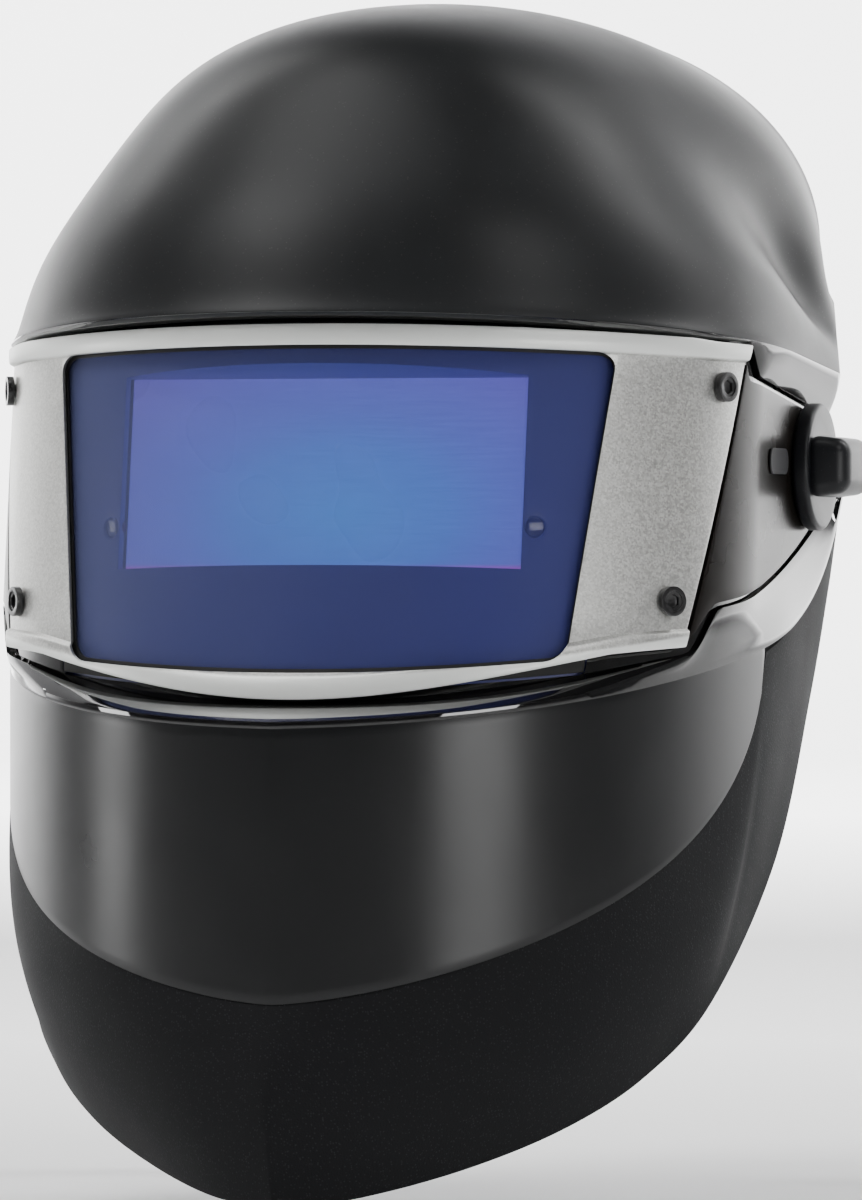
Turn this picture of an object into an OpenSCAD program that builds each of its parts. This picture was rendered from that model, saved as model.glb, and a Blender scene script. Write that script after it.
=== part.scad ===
// Welding helmet with a lifting shell, an automatic filter and a ratchet headgear.
// Millimetres. The origin is the middle of the pivot axis, X is across the head,
// the front of the helmet faces -Y and +Z is up.

/* [Shell] */
// Outside width of the shell at the brow line
shell_w = 188; // [176:1:200]
// Height of the crown above the pivot axis
crown_rise = 111; // [104:1:124]
// How far the brow line stands ahead of the pivot axis
brow_reach = 112; // [106:1:118]
// Height of the brow line above the pivot axis, at the front
brow_rise = 34.5; // [33.5:0.5:36]
// How far the crown runs behind the pivot axis
crown_back = 57; // [45:1:60]
// How far the chin stands ahead of the pivot axis
chin_reach = 133.5; // [128:0.5:140]
// Depth of the chin's lower edge below the pivot axis
chin_drop = 123; // [112:1:130]
// Depth of the neck skirt's tip below the pivot axis
skirt_drop = 169.5; // [155:0.5:182]
// Wall thickness of the mouldings
wall = 2.2; // [1.8:0.1:2.6]
// Height of the soft crease at the middle of the chin
crease = 1.5; // [0:0.1:2]

/* [Visor] */
// Radius of the visor's curved front
visor_r = 102; // [98:1:108]
// How far the visor's front stands ahead of the pivot axis
visor_reach = 110.9; // [109:0.1:112]
// Lean of the visor, in millimetres back per millimetre up
lean = 0.15; // [0.1:0.01:0.18]
// Thickness of the front panel
panel_t = 1.5; // [1.2:0.1:1.8]
// Width of the panel's window at its top edge
window_top_w = 134; // [126:1:138]
// Width of the panel's window at its bottom edge
window_bottom_w = 118.5; // [110:0.5:124]
// Height of the window's top corners above the pivot axis
window_top = 25.2; // [23:0.1:26]
// Depth of the window's bottom corners below the pivot axis
window_bottom = 44.3; // [41:0.1:45]
// Thickness of the cover lens
lens_t = 1.1; // [1:0.1:1.2]
// Radius of the panel screws' shanks
screw_r = 1.5; // [1.25:0.05:1.75]

/* [Filter] */
// Width of the dark glass that is looked through
view_w = 93; // [84:1:96]
// Height of the dark glass that is looked through
view_h = 43; // [38:1:44]
// Thickness of the laminated filter glass
glass_t = 3.6; // [2.5:0.1:4]
// Width of the filter's housing
filter_w = 110; // [108:1:114]
// Diameter of the button cells
cell_d = 20; // [16:0.1:20]
// Thickness of the button cells
cell_t = 3.2; // [2:0.1:3.2]
// Diameter of the control buttons
button_d = 8; // [6:0.5:9]
// Travel of the control buttons
button_travel = 0.8; // [0.5:0.1:0.8]

/* [Pivots] */
// Diameter of the pivot collar that the shell turns on
collar_d = 12; // [10:0.5:14]
// Running clearance between the collar and the shell's bore, on the radius
run_gap = 0.08; // [0.05:0.01:0.1]
// Diameter of the threaded stud
stud_d = 8; // [6:0.5:9]
// Diameter of the tension knob's disc
knob_d = 30; // [26:1:34]
// Height of the knob's wing above its disc
wing_h = 9; // [7:0.5:11]
// Thickness of the knob's wing
wing_t = 15; // [12:0.5:16]
// Free travel of the pivots along the side plates, each way
pivot_slide = 10; // [6:1:10]

/* [Headgear] */
// Outside width of the head band
band_w = 153; // [146:1:154]
// How far the head band stands ahead of the pivot axis
band_front = 56; // [50:1:58]
// How far the nape straps reach behind the pivot axis
band_back = 132; // [126:1:140]
// Height of the head band's strip
band_h = 22; // [18:1:24]
// Thickness of the head band's strip
band_t = 1.8; // [1.4:0.1:2.2]
// Thickness of the sweat band
pad_t = 6; // [4:0.5:8]
// Room between the crown's top and the crown straps
strap_gap = 19; // [17:1:26]
// Width of the crown straps
strap_w = 20; // [14:1:22]
// Pitch radius of the ratchet's pinion
pinion_r = 5; // [4:0.5:6]
// Diameter of the ratchet's knob
ratchet_d = 34; // [28:1:40]

/* [Hidden] */

$fn = 64;
// Gap along the joint lines of the shell
joint = 0.25;
// Gap between neighbouring pieces that don't move against each other
seat = 0.2;
// Gap between pieces that move against each other
slack = 0.35;
// Fine step that keeps cuts open at both ends
eps = 0.1;

half_w = shell_w / 2;
lean_deg = atan(lean);
// Depth of the visor frame's wall below the visor's outer surface
sunk = panel_t + 0.3;
// Depth of the visor frame's inner face
frame_in = sunk + wall - 0.2;
// The corner arcs take over from the front arc at this angle
turn = 52;
// Flat sides of the visor, inside the shell's width
side_x = half_w - 3.5;
// Radius of the corner arcs, which end square to the flat sides
corner_r = (side_x - visor_r * sin(turn)) / (1 - sin(turn));
visor_y = visor_r - visor_reach;
corner_y = visor_y - (visor_r - corner_r) * cos(turn);
// Rear end of the visor frame, at its top and at its bottom
rear_top = 20;
rear_bottom = 28;

// ---- Curves ----

function mix(a, b, t) = a + (b - a) * t;
function clamp01(t) = min(max(t, 0), 1);
function smooth(a, b, x) = let (t = clamp01((x - a) / (b - a))) t * t * (3 - 2 * t);

// Point on a smooth curve through equally spaced stations, v from 0 to 1
function curve(v, p) = let (
    n = len(p) - 1,
    s = clamp01(v) * n,
    i = min(floor(s), n - 1),
    t = s - i,
    a = p[max(i - 1, 0)],
    b = p[i],
    c = p[i + 1],
    d = p[min(i + 2, n)]
  ) 0.5 * (2 * b + (c - a) * t + (2 * a - 5 * b + 4 * c - d) * t * t
           + (3 * b - a - 3 * c + d) * t * t * t);

// Even steps from 0 to 1, and from -1 to 1
function steps(n) = [for (i = [0 : n]) i / n];
function sweep(n) = [for (i = [0 : n]) 2 * i / n - 1];

// Grid moved along its own normals
function inset(g, t) = let (rows = len(g) - 1, cols = len(g[0]) - 1)
  [for (i = [0 : rows]) [for (j = [0 : cols]) let (
      a = g[min(i + 1, rows)][j] - g[max(i - 1, 0)][j],
      b = g[i][min(j + 1, cols)] - g[i][max(j - 1, 0)],
      n = cross(a, b)
    ) g[i][j] + n / norm(n) * t]];

// Corner-rounded polygon
function rounded(p, r, n = 6) = [for (i = [0 : len(p) - 1]) let (
      q = p[i],
      a = p[(i + len(p) - 1) % len(p)] - q,
      b = p[(i + 1) % len(p)] - q,
      ua = a / norm(a),
      ub = b / norm(b),
      half = acos(ua * ub) / 2,
      m = (ua + ub) / norm(ua + ub),
      c = q + m * r / sin(half),
      pa = q + ua * r / tan(half) - c,
      pb = q + ub * r / tan(half) - c,
      a0 = atan2(pa[1], pa[0]),
      turned = atan2(pb[1], pb[0]) - a0,
      sweep_a = turned > 180 ? turned - 360 : turned < -180 ? turned + 360 : turned
    ) each [for (k = [0 : n]) c + r * [cos(a0 + sweep_a * k / n), sin(a0 + sweep_a * k / n)]]];

// Closed wall between two grids of points that match one to one. Seen from outside, the
// outer grid's rows run downwards and its columns run to the right
module skin(outer, inner) {
  rows = len(outer);
  cols = len(outer[0]);
  n = rows * cols;
  function id(i, j, k) = k * n + i * cols + j;
  function quad(a, b, c, d) = [[a, b, c], [a, c, d]];
  polyhedron(
    points = concat([for (r = outer) each r], [for (r = inner) each r]),
    faces = concat(
      [for (i = [0 : rows - 2]) for (j = [0 : cols - 2]) each concat(
        quad(id(i, j, 0), id(i, j + 1, 0), id(i + 1, j + 1, 0), id(i + 1, j, 0)),
        quad(id(i, j, 1), id(i + 1, j, 1), id(i + 1, j + 1, 1), id(i, j + 1, 1)))],
      [for (j = [0 : cols - 2]) each concat(
        quad(id(0, j, 0), id(0, j, 1), id(0, j + 1, 1), id(0, j + 1, 0)),
        quad(id(rows - 1, j, 0), id(rows - 1, j + 1, 0), id(rows - 1, j + 1, 1), id(rows - 1, j, 1)))],
      [for (i = [0 : rows - 2]) each concat(
        quad(id(i, 0, 0), id(i + 1, 0, 0), id(i + 1, 0, 1), id(i, 0, 1)),
        quad(id(i, cols - 1, 0), id(i, cols - 1, 1), id(i + 1, cols - 1, 1), id(i + 1, cols - 1, 0)))]),
    convexity = 8);
}

module both_sides() {
  children();
  mirror([1, 0, 0]) children();
}

// ---- Shell surfaces ----

// Stations along the crown's middle: depth, height, half width
spine = [[-brow_reach, brow_rise, half_w],
         [-brow_reach + 12, mix(brow_rise, crown_rise, 0.41), half_w - 3],
         [-brow_reach + 46, crown_rise - 10, half_w - 14],
         [-2, crown_rise, half_w - 8],
         [crown_back, crown_rise - 2, half_w - 12]];
// Foot of the crown's arches at the sides, first and last
foot_a = [20, 22.3];
foot_b = [46, 40];

// Share of each half arch that is curved, and the angle that it turns through
bend = 0.72;
bend_deg = 90 / bend;

// One arch of the crown: u runs across from -1 to 1, v from brow to back, t is the depth below
function crown_point(u, v, t) = let (
    m = curve(v, spine),
    foot = mix(foot_a, foot_b, v),
    d = [m[0], m[1]] - foot,
    h = norm(d) - t,
    e = d / norm(d),
    f = h * mix(0.66, 0.82, v),
    s = abs(u),
    curved = s < bend,
    x = curved ? (m[2] - t) * sin(bend_deg * s) : m[2] - t,
    y = curved ? h - f + f * cos(bend_deg * s) : (h - f) * (1 - s) / (1 - bend),
    k = pow(max((s - bend) / (1 - bend), 0), 2)
  ) [sign(u) * mix(x, half_w - 8 * v - t, k), foot[0] + e[0] * y, foot[1] + e[1] * y];

function crown_grid(t) = [for (v = steps(16)) [for (u = sweep(40)) crown_point(u, 1 - v, t)]];

// Outside surface of the visor at an angle from the front; past 90 degrees it runs straight back
function visor_point(a, z, off) = let (s = abs(a))
  s < turn
    ? [sign(a) * (visor_r + off) * sin(s), visor_y - (visor_r + off) * cos(s) + lean * z, z]
    : [sign(a) * ((visor_r - corner_r) * sin(turn) + (corner_r + off) * sin(min(s, 90))),
       corner_y - (corner_r + off) * cos(min(s, 90)) + max(s - 90, 0) + lean * z, z];

// Angle of the visor's column u: the front arc, the corner and the flat side in turn
front_len = visor_r * turn * PI / 180;
corner_len = corner_r * (90 - turn) * PI / 180;
function column_angle(u, flat) = let (s = u * (front_len + corner_len + flat))
  s < front_len ? s / visor_r * 180 / PI
  : s < front_len + corner_len ? turn + (s - front_len) / corner_r * 180 / PI
  : 90 + s - front_len - corner_len;

// Ellipse of the chin seen from above; past 90 degrees it runs straight back
chin_y = -20;
chin_w = half_w - 1;
chin_f = chin_reach + chin_y;
function chin_xy(a, t) = let (s = abs(a), x = (chin_w - t) * sin(min(s, 90)))
  [sign(a) * x,
   chin_y - (chin_f - t) * cos(min(s, 90)) + max(s - 90, 0)
     - crease * pow(max(1 - x / 30, 0), 2)];

// Height of the line where the visor's lower rim meets the chin
rim_drop = 59;
function rim_z(y) = let (d = y + chin_reach + crease) -rim_drop + 0.19 * d + 11 * pow(max(d, 0) / 147, 8);

// Height of the rim's lip above the chin, and the least height of the chin at its ends
rim_lip = 1.6;
chin_least = 1.2;
// Share of each half of the rim that goes round the chin's curve
rim_turn = 0.77;

// Height of the chin's lower edge
jaw_end = 79;
function jaw_z(a) = -42 - (chin_drop - 42) * sqrt(max(1 - pow(abs(a) / jaw_end, 1.5), 0));

// Edges of the front panel
panel_top = 31.8;
panel_bottom = 54.1;
function panel_top_z(x) = panel_top - 4.5 * pow(x / 89, 2);
function panel_bottom_z(x) = -panel_bottom + 10.5 * pow(x / 81, 2);
// Angle where the panel's slanted end lies
function panel_end(z) = 53.6 + (z + 41) * 0.337;

// Depths of the panel's ends, at its top and at its bottom
end_top = visor_point(panel_end(25), 25, 0)[1];
end_low = visor_point(panel_end(-44), -44, 0)[1];

// Inner edges of the visor's upper and lower rims, which run on freely behind the panel's ends
function upper_rim_z(x, y) = let (d = y - end_top)
  mix(panel_top_z(x) + 0.8, 21.5 - 0.12 * d, smooth(1.7, 9.2, d));
function lower_rim_z(x, y) = let (d = max(y - end_low - 3.9, 0))
  mix(panel_bottom_z(x) - 0.8, -34 + 0.1 * d + 0.0019 * d * d, smooth(2.4, 10.9, y - end_low));

// One column of the visor frame, from the brow line down to the chin
function frame_column(u, inside) = let (
    s = abs(u),
    top_a = column_angle(s, rear_top - corner_y) * sign(u),
    low_a = column_angle(s, rear_bottom - corner_y) * sign(u),
    brow = crown_point(u, 0, inside ? wall : 0) - [0, 0, joint],
    guide_t = visor_point(top_a, 25, 0),
    guide_b = visor_point(low_a, -45, 0),
    zt = upper_rim_z(guide_t[0], guide_t[1]),
    zb = lower_rim_z(guide_b[0], guide_b[1]),
    chin_a = s < rim_turn ? s / rim_turn * 90
             : 90 + (s - rim_turn) / (1 - rim_turn) * (rear_bottom - chin_y),
    chin = chin_xy(chin_a * sign(u), inside ? wall : 0),
    cz = rim_z(chin_xy(chin_a, 0)[1]),
    deep = -frame_in
  ) inside
    ? concat([brow, visor_point(top_a, zt + wall - 0.3, deep)],
             [for (k = steps(5)) visor_point(mix(top_a, low_a, k), mix(zt - 0.3, zb + 0.3, k), deep)],
             [visor_point(low_a, zb - wall + 0.3, deep),
              [chin[0], chin[1], cz - rim_lip + 0.4],
              [chin[0], chin[1], cz - rim_lip]])
    : concat([brow, visor_point(top_a, zt, 0)],
             [for (k = steps(5)) visor_point(mix(top_a, low_a, k), mix(zt - 0.3, zb + 0.3, k), -sunk)],
             [visor_point(low_a, zb, 0),
              [chin[0], chin[1], cz],
              [chin[0], chin[1], cz - rim_lip]]);

function frame_grid(inside) = let (columns = [for (u = sweep(48)) frame_column(u, inside)])
  [for (i = [0 : len(columns[0]) - 1]) [for (c = columns) c[i]]];

function chin_grid(t) = [for (v = steps(8)) [for (u = sweep(36)) let (
      a = u * jaw_end,
      p = chin_xy(a, t),
      top = rim_z(chin_xy(a, 0)[1]) - rim_lip - joint,
      low = min(jaw_z(a), top - chin_least)
    ) [p[0], p[1], mix(top, low, v)]]];

// Stations along the neck skirt's free edge, from the front tip to the rear
skirt_edge = [[0, -chin_reach, -skirt_drop],
              [18, -chin_reach + 10, -skirt_drop + 2.5],
              [38, -chin_reach + 28, -skirt_drop + 8.5],
              [56.5, -chin_reach + 45, -skirt_drop + 17.2],
              [71, -chin_reach + 61, -skirt_drop + 28.5],
              [half_w - 11.7, -chin_reach + 78, -skirt_drop + 45.2],
              [half_w - 4.3, -25, -92],
              [half_w - 3, 3, -54],
              [half_w - 3.5, 24, -26]];
skirt_turn = 0.62;
function skirt_point(u, v) = let (
    s = abs(u),
    a = s < skirt_turn ? s / skirt_turn * jaw_end
        : mix(jaw_end, 90 + rear_bottom - 4 - chin_y, (s - skirt_turn) / (1 - skirt_turn)),
    p = chin_xy(a, -0.6),
    rim = rim_z(chin_xy(a, 0)[1]) - rim_lip - joint,
    drop = 2 * joint,
    top = s < skirt_turn ? min(jaw_z(a), rim - chin_least) - drop
          : rim - drop - chin_least * (1 - smooth(skirt_turn, 0.7, s)),
    e = curve(s, skirt_edge),
    swell = sin(180 * v),
    q = mix([p[0], p[1], top], e, v)
  ) [sign(u) * (q[0] + 4 * swell * smooth(0, 0.4, s) * (1 - smooth(0.5, 0.8, s))),
     q[1] - 5 * swell * max(1 - s / 0.6, 0), q[2]];
function skirt_grid() = [for (v = steps(10)) [for (u = sweep(44)) skirt_point(u, v)]];

// ---- Shell ----

module crown_shell() color([0.10, 0.10, 0.11]) skin(crown_grid(0), crown_grid(wall));

module visor_frame() color([0.04, 0.04, 0.045]) difference() {
  union() {
    skin(frame_grid(false), frame_grid(true));
    both_sides() {
      pivot_cylinder(side_x - sunk - 3.5, side_x - sunk - 1, 28);
      for (s = screw_places) at_visor(s[0], s[1], -sunk - 6) cylinder(r = screw_r + 2.6, h = 5.2);
    }
  }
  window_prism(3.6, 1.2);
  both_sides() {
    pivot_cylinder(side_x - 12, side_x + 4, collar_d + 2 * run_gap);
    for (s = screw_places) at_visor(s[0], s[1], -sunk - 8) cylinder(r = insert_r + 0.05, h = 10);
  }
}

module chin_shell() color([0.07, 0.07, 0.075]) skin(chin_grid(0), chin_grid(wall));

module neck_skirt() color([0.13, 0.13, 0.13]) skin(skirt_grid(), inset(skirt_grid(), -wall + 0.2));

// Places of the panel screws: angle from the front, height
screw_places = [[65, 17.7], [50.2, -31.7]];
insert_r = screw_r + 1;

// Moves children to the visor's surface, with +Z along its normal
module at_visor(a, z, off) {
  translate(visor_point(a, z, off)) rotate([90, 0, a]) children();
}

// Cylinder on the pivot axis at the +X side, from one X to another
module pivot_cylinder(x0, x1, d) {
  translate([x0, 0, 0]) rotate([0, 90, 0]) cylinder(d = d, h = x1 - x0);
}

// Bow of the window's top and bottom edges at the middle
top_bow = 1.8;
bottom_bow = 3.7;
function bow(x, z) = z + (1 - pow(x / window_top_w * 2, 2))
  * (z > 0 ? top_bow * z / window_top : bottom_bow * z / window_bottom);

// Outline of the window, grown by m
function window_outline(m, r) = let (
    slant = (window_top_w - window_bottom_w) / 2 / (window_top + window_bottom),
    tw = window_top_w / 2 + m * (1 + slant),
    bw = window_bottom_w / 2 + m * (1 - slant),
    straight = rounded([[-tw, window_top + m], [tw, window_top + m],
                        [bw, -window_bottom - m], [-bw, -window_bottom - m]], r),
    n = len(straight)
  ) [for (i = [0 : n - 1]) let (p = straight[i], q = straight[(i + 1) % n], long = norm(q - p) > 30)
      each [for (k = [0 : long ? 7 : 0]) let (c = mix(p, q, k / 8)) [c[0], bow(c[0], c[1])]]];

module window_prism(m, r) {
  translate([0, -60, 0]) rotate([90, 0, 0]) linear_extrude(100) polygon(window_outline(m, r));
}

// Curved sheet behind the window, grown by m, between two depths
module window_sheet(m, near, far) {
  function row(k, off) = let (
      z = mix(-window_bottom - m, window_top + m, k),
      w = mix(window_bottom_w, window_top_w, k) / 2 + m
    ) [for (u = sweep(24)) let (x = u * w, r = visor_r - off, h = bow(x, z))
         [x, visor_y - sqrt(r * r - x * x) + lean * h, h]];
  skin([for (k = steps(4)) row(1 - k, near)], [for (k = steps(4)) row(1 - k, far)]);
}

// Heights of the front panel's raised lips, and the angle that it goes round to
lip_top = 5.9;
lip_bottom = 6.1;
panel_turn = 66;
// Profile of the front panel across its height: share of the flat part, distance past it, rise
panel_rows = [[1, lip_top, 1.4], [1, 0.8, 1.0], [1, 0, 0], [0.66, 0, 0], [0.33, 0, 0],
              [0, 0, 0], [0, -0.8, 1.0], [0, -lip_bottom, 1.4]];
function panel_grid(t) = [for (p = panel_rows) [for (u = sweep(40)) let (
      x = visor_point(u * panel_turn, 0, 0)[0],
      lip = mix(1, 0.7, abs(u)),
      high = panel_top_z(x) - lip_top * lip,
      low = panel_bottom_z(x) + lip_bottom * lip,
      z = mix(low, high, p[0]) + p[1] * lip
    ) visor_point(u * panel_end(z), z, p[2] - t)]];

module front_panel() color([0.70, 0.70, 0.68]) difference() {
  skin(panel_grid(0), panel_grid(panel_t));
  window_prism(0, 4);
  both_sides() for (s = screw_places) at_visor(s[0], s[1], -5) cylinder(r = screw_r + 0.3, h = 10);
}

module panel_screws() color([0.08, 0.08, 0.09]) both_sides() for (s = screw_places)
  at_visor(s[0], s[1], 0) difference() {
    union() {
      translate([0, 0, 0.3]) cylinder(r = 2.3 * screw_r, h = 1.6);
      translate([0, 0, -sunk - 5]) cylinder(r = screw_r, h = sunk + 5.4);
    }
    translate([0, 0, 0.7]) cylinder(r = screw_r + 0.1, h = 2, $fn = 6);
  }

module screw_inserts() color([0.75, 0.60, 0.30]) both_sides() for (s = screw_places)
  at_visor(s[0], s[1], -sunk - 6) difference() {
    cylinder(r = insert_r, h = 5.5);
    translate([0, 0, -eps]) cylinder(r = screw_r + 0.05, h = 6);
  }

module window_gasket() color([0.03, 0.03, 0.03]) difference() {
  window_sheet(3, panel_t + seat, panel_t + 0.9);
  window_prism(-0.8, 3.4);
}

lens_near = panel_t + 1;
module cover_lens() color([0.20, 0.24, 0.40, 0.6]) window_sheet(2.8, lens_near, lens_near + lens_t);

// One side's gloss cover, from the panel's end to the rear, inside the rims
function cover_grid(t) = [for (k = steps(6)) [for (j = steps(20)) let (
      zs = mix(26, -44, k),
      from = panel_end(zs) + 1.5,
      to = column_angle(1, mix(rear_top, rear_bottom, k) - corner_y) - 5,
      a = mix(from, to, j),
      p = visor_point(a, zs, 0),
      high = upper_rim_z(p[0], p[1] + 4) - 1.2,
      low = lower_rim_z(p[0], p[1] + 4) + 1.2,
      z = mix(high, low, k)
    ) visor_point(mix(panel_end(z) + 1.5, to, j), z, -t)]];

module side_cover() difference() {
  skin(cover_grid(0), cover_grid(panel_t));
  pivot_cylinder(side_x - 8, side_x + 8, collar_d + 2 * slack);
}
module side_cover_left() color([0.09, 0.07, 0.07]) side_cover();
module side_cover_right() color([0.09, 0.07, 0.07]) mirror([1, 0, 0]) side_cover();

module side_badges() color([0.55, 0.56, 0.58]) both_sides()
  translate([side_x + seat, -27, 1]) rotate([90, 0, 90]) linear_extrude(0.5)
    polygon(rounded([[-8, -3], [8, -3], [8, 3], [-8, 3]], 2.9));

// ---- Filter ----

view_y = -92;
view_z = -2.5;
// Depth of the bezel's front behind the visor's surface
bezel_near = lens_near + lens_t + 0.4;
bezel_far = bezel_near + 1.8;
rear_wall = 2;
housing_back = 6;
board_y = 1;

// Frame of the filter: its glass faces -Y and leans back with the visor
module in_filter() translate([0, view_y, view_z]) rotate([-lean_deg, 0, 0]) children();

// Box in the filter's frame
module slab(x0, x1, y0, y1, z0, z1) translate([x0, y0, z0]) cube([x1 - x0, y1 - y0, z1 - z0]);

// Everything in front of the given depth behind the window
module ahead_of(depth) window_sheet(9, -22, depth);

sensor_x = 50.9;
sensor_z = -14.7;
sensor_a = asin(sensor_x / (visor_r - bezel_near));

module filter_bezel() color([0.10, 0.11, 0.20]) difference() {
  union() {
    window_sheet(5.8, bezel_near, bezel_far);
    difference() {
      in_filter() slab(-view_w / 2 - 2, view_w / 2 + 2, -16, -seat, -view_h / 2 - 2, view_h / 2 + 2);
      ahead_of(bezel_near + 1);
    }
  }
  in_filter() slab(-view_w / 2, view_w / 2, -30, 10, -view_h / 2, view_h / 2);
  both_sides() at_visor(sensor_a, sensor_z, -bezel_far - 6) cylinder(r = 2.6, h = 12);
}

cell_x = cell_d / 2 + 8;
cell_z = -view_h / 2 - 4.4 - cell_d / 2;
tray_y = board_y - seat - 1.2 - cell_t;
housing_low = cell_z - cell_d / 2 - 4;
housing_high = view_h / 2 + 5.5;
button_z = cell_z + 1;
button_places = [-24, 0, 24];

module filter_housing() color([0.12, 0.12, 0.13]) difference() {
  in_filter() difference() {
    slab(-filter_w / 2, filter_w / 2, -20, housing_back + rear_wall, housing_low, housing_high);
    slab(-filter_w / 2 + 2, filter_w / 2 - 2, -30, housing_back, housing_low + 2, housing_high - 2);
    slab(-view_w / 2 + 1, view_w / 2 - 1, 0, 20, -view_h / 2 + 1, view_h / 2 - 1);
    for (x = button_places) translate([x, 0, button_z]) rotate([-90, 0, 0])
      cylinder(d = button_d + 2 * slack, h = 20);
    for (x = [-12, 12]) translate([x, 0, button_z]) rotate([-90, 0, 0]) cylinder(r = 1.4, h = 20);
  }
  ahead_of(bezel_far + seat);
}

module filter_glass() color([0.25, 0.30, 0.70, 0.8]) in_filter()
  slab(-view_w / 2 - 0.8, view_w / 2 + 0.8, 0, glass_t, -view_h / 2 - 1.5, view_h / 2 + 1.5);

module sensor_windows() color([0.05, 0.05, 0.07]) both_sides()
  at_visor(sensor_a, sensor_z, -bezel_far) cylinder(r = 2.4, h = 1.6);

module photo_diodes() color([0.30, 0.10, 0.15]) both_sides()
  at_visor(sensor_a, sensor_z, -bezel_far - 1.6) cylinder(r = 1.5, h = 1.4);

// Rear face of the circuit board, in the filter's frame
board_back = board_y + 1.2;
module circuit_board() color([0.05, 0.30, 0.15]) in_filter() {
  slab(-46, 46, board_y, board_back, housing_low + 2.5, -view_h / 2 - 2);
  for (x = button_places)
    slab(x - 3, x + 3, board_back - eps, board_back + 1.2, button_z - 3, button_z + 3);
  for (s = [-1, 1]) translate([s * 42, 0, -view_h / 2 - 8])
    slab(-2.5, 2.5, board_back - eps, housing_back - seat, -2.5, 2.5);
}

module battery_trays() color([0.16, 0.16, 0.17]) in_filter() for (s = [-1, 1])
  translate([s * cell_x, 0, cell_z]) difference() {
    slab(-cell_d / 2 - 2, cell_d / 2 + 2, tray_y - 1.2, board_y - seat,
         -cell_d / 2 - 1.5, cell_d / 2 + 1.5);
    translate([0, tray_y - 3, 0]) rotate([-90, 0, 0]) cylinder(d = cell_d + 0.4, h = cell_t + 3 + seat);
  }

module battery_cells() color([0.75, 0.76, 0.78]) in_filter() for (s = [-1, 1])
  translate([s * cell_x, tray_y, cell_z]) rotate([-90, 0, 0]) {
    cylinder(d = cell_d, h = cell_t - 0.4);
    cylinder(d = cell_d - 3, h = cell_t);
  }

module indicator_leds() color([0.20, 0.70, 0.25]) in_filter() for (x = [-12, 12])
  translate([x, board_back + seat, button_z]) rotate([-90, 0, 0])
    cylinder(r = 1.2, h = housing_back + rear_wall - board_back);

// Push button: a flange inside the housing and a cap outside it
module button(x) in_filter() translate([x, 0, button_z]) rotate([-90, 0, 0]) {
  translate([0, 0, housing_back - slack - 0.8]) cylinder(d = button_d + 2, h = 0.8);
  translate([0, 0, housing_back - slack - eps]) cylinder(d = button_d, h = rear_wall + slack + 1.5);
}
module power_button() color([0.75, 0.15, 0.12]) button(button_places[0]);
module shade_button() color([0.35, 0.36, 0.38]) button(button_places[1]);
module delay_button() color([0.35, 0.36, 0.38]) button(button_places[2]);

cover_plate_y = housing_back + rear_wall + seat;
module inner_cover_plate() color([0.80, 0.85, 0.88, 0.4]) in_filter()
  slab(-filter_w / 2 + 2.5, filter_w / 2 - 2.5, cover_plate_y, cover_plate_y + 1,
       -view_h / 2 - 2.5, housing_high - 1);

// Leaf springs that press the filter's housing forward from the visor frame's wall
clip_w = 12;
clip_t = 0.8;
clip_y = housing_back + rear_wall + 0.3;
clip_path = [[-2, 0], [3, 0], [11, 8.2], [16, 12.2], [19.2, 11.2]];
module filter_clips() color([0.72, 0.73, 0.75]) in_filter() both_sides()
  translate([filter_w / 2, clip_y, -clip_w / 2]) linear_extrude(clip_w)
    polygon(concat(clip_path, [for (i = [4 : -1 : 0]) clip_path[i] + [-0.4, 1] * clip_t]));

// ---- Pivots, built at the +X side ----

// Inner face of the shell's pivot boss, and the stack inside it
boss_x = side_x - sunk - 3.5;
washer_t = 1.2;
washer_x = boss_x - slack - washer_t;
plate_t = 2;
plate_x = band_w / 2 + seat;
carrier_x = plate_x + plate_t + slack;
tongue = 8;

module friction_washers() color([0.85, 0.84, 0.80]) both_sides() difference() {
  pivot_cylinder(washer_x, washer_x + washer_t, 26);
  pivot_cylinder(washer_x - 1, washer_x + 3, collar_d + 0.4);
}

module pivot_carrier() difference() {
  union() {
    translate([carrier_x, -15, -9]) cube([washer_x - seat - carrier_x, 30, 18]);
    translate([plate_x + 0.4, -tongue / 2, -tongue / 2]) cube([carrier_x - plate_x, tongue, tongue]);
  }
  pivot_cylinder(plate_x - 1, washer_x + 1, stud_d - 2 + 0.1);
}
module pivot_carrier_left() color([0.20, 0.20, 0.21]) pivot_carrier();
module pivot_carrier_right() color([0.20, 0.20, 0.21]) mirror([1, 0, 0]) pivot_carrier();

knob_x = side_x + slack;
knob_t = 4;
stud_end = knob_x + knob_t + 4;
module pivot_stud() {
  pivot_cylinder(plate_x - slack - 1.6, plate_x - slack, tongue + 4);
  pivot_cylinder(plate_x - slack - eps, washer_x - eps, stud_d - 2);
  pivot_cylinder(washer_x - 0.1, knob_x - slack, collar_d);
  pivot_cylinder(knob_x - slack - eps, stud_end, stud_d - 1);
}
module pivot_stud_left() color([0.70, 0.71, 0.73]) pivot_stud();
module pivot_stud_right() color([0.70, 0.71, 0.73]) mirror([1, 0, 0]) pivot_stud();

module knob_washers() color([0.60, 0.61, 0.63]) both_sides() difference() {
  pivot_cylinder(knob_x + 0.2, knob_x + 1, 18);
  pivot_cylinder(knob_x - 1, knob_x + 3, stud_d - 1 + 0.4);
}

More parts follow.
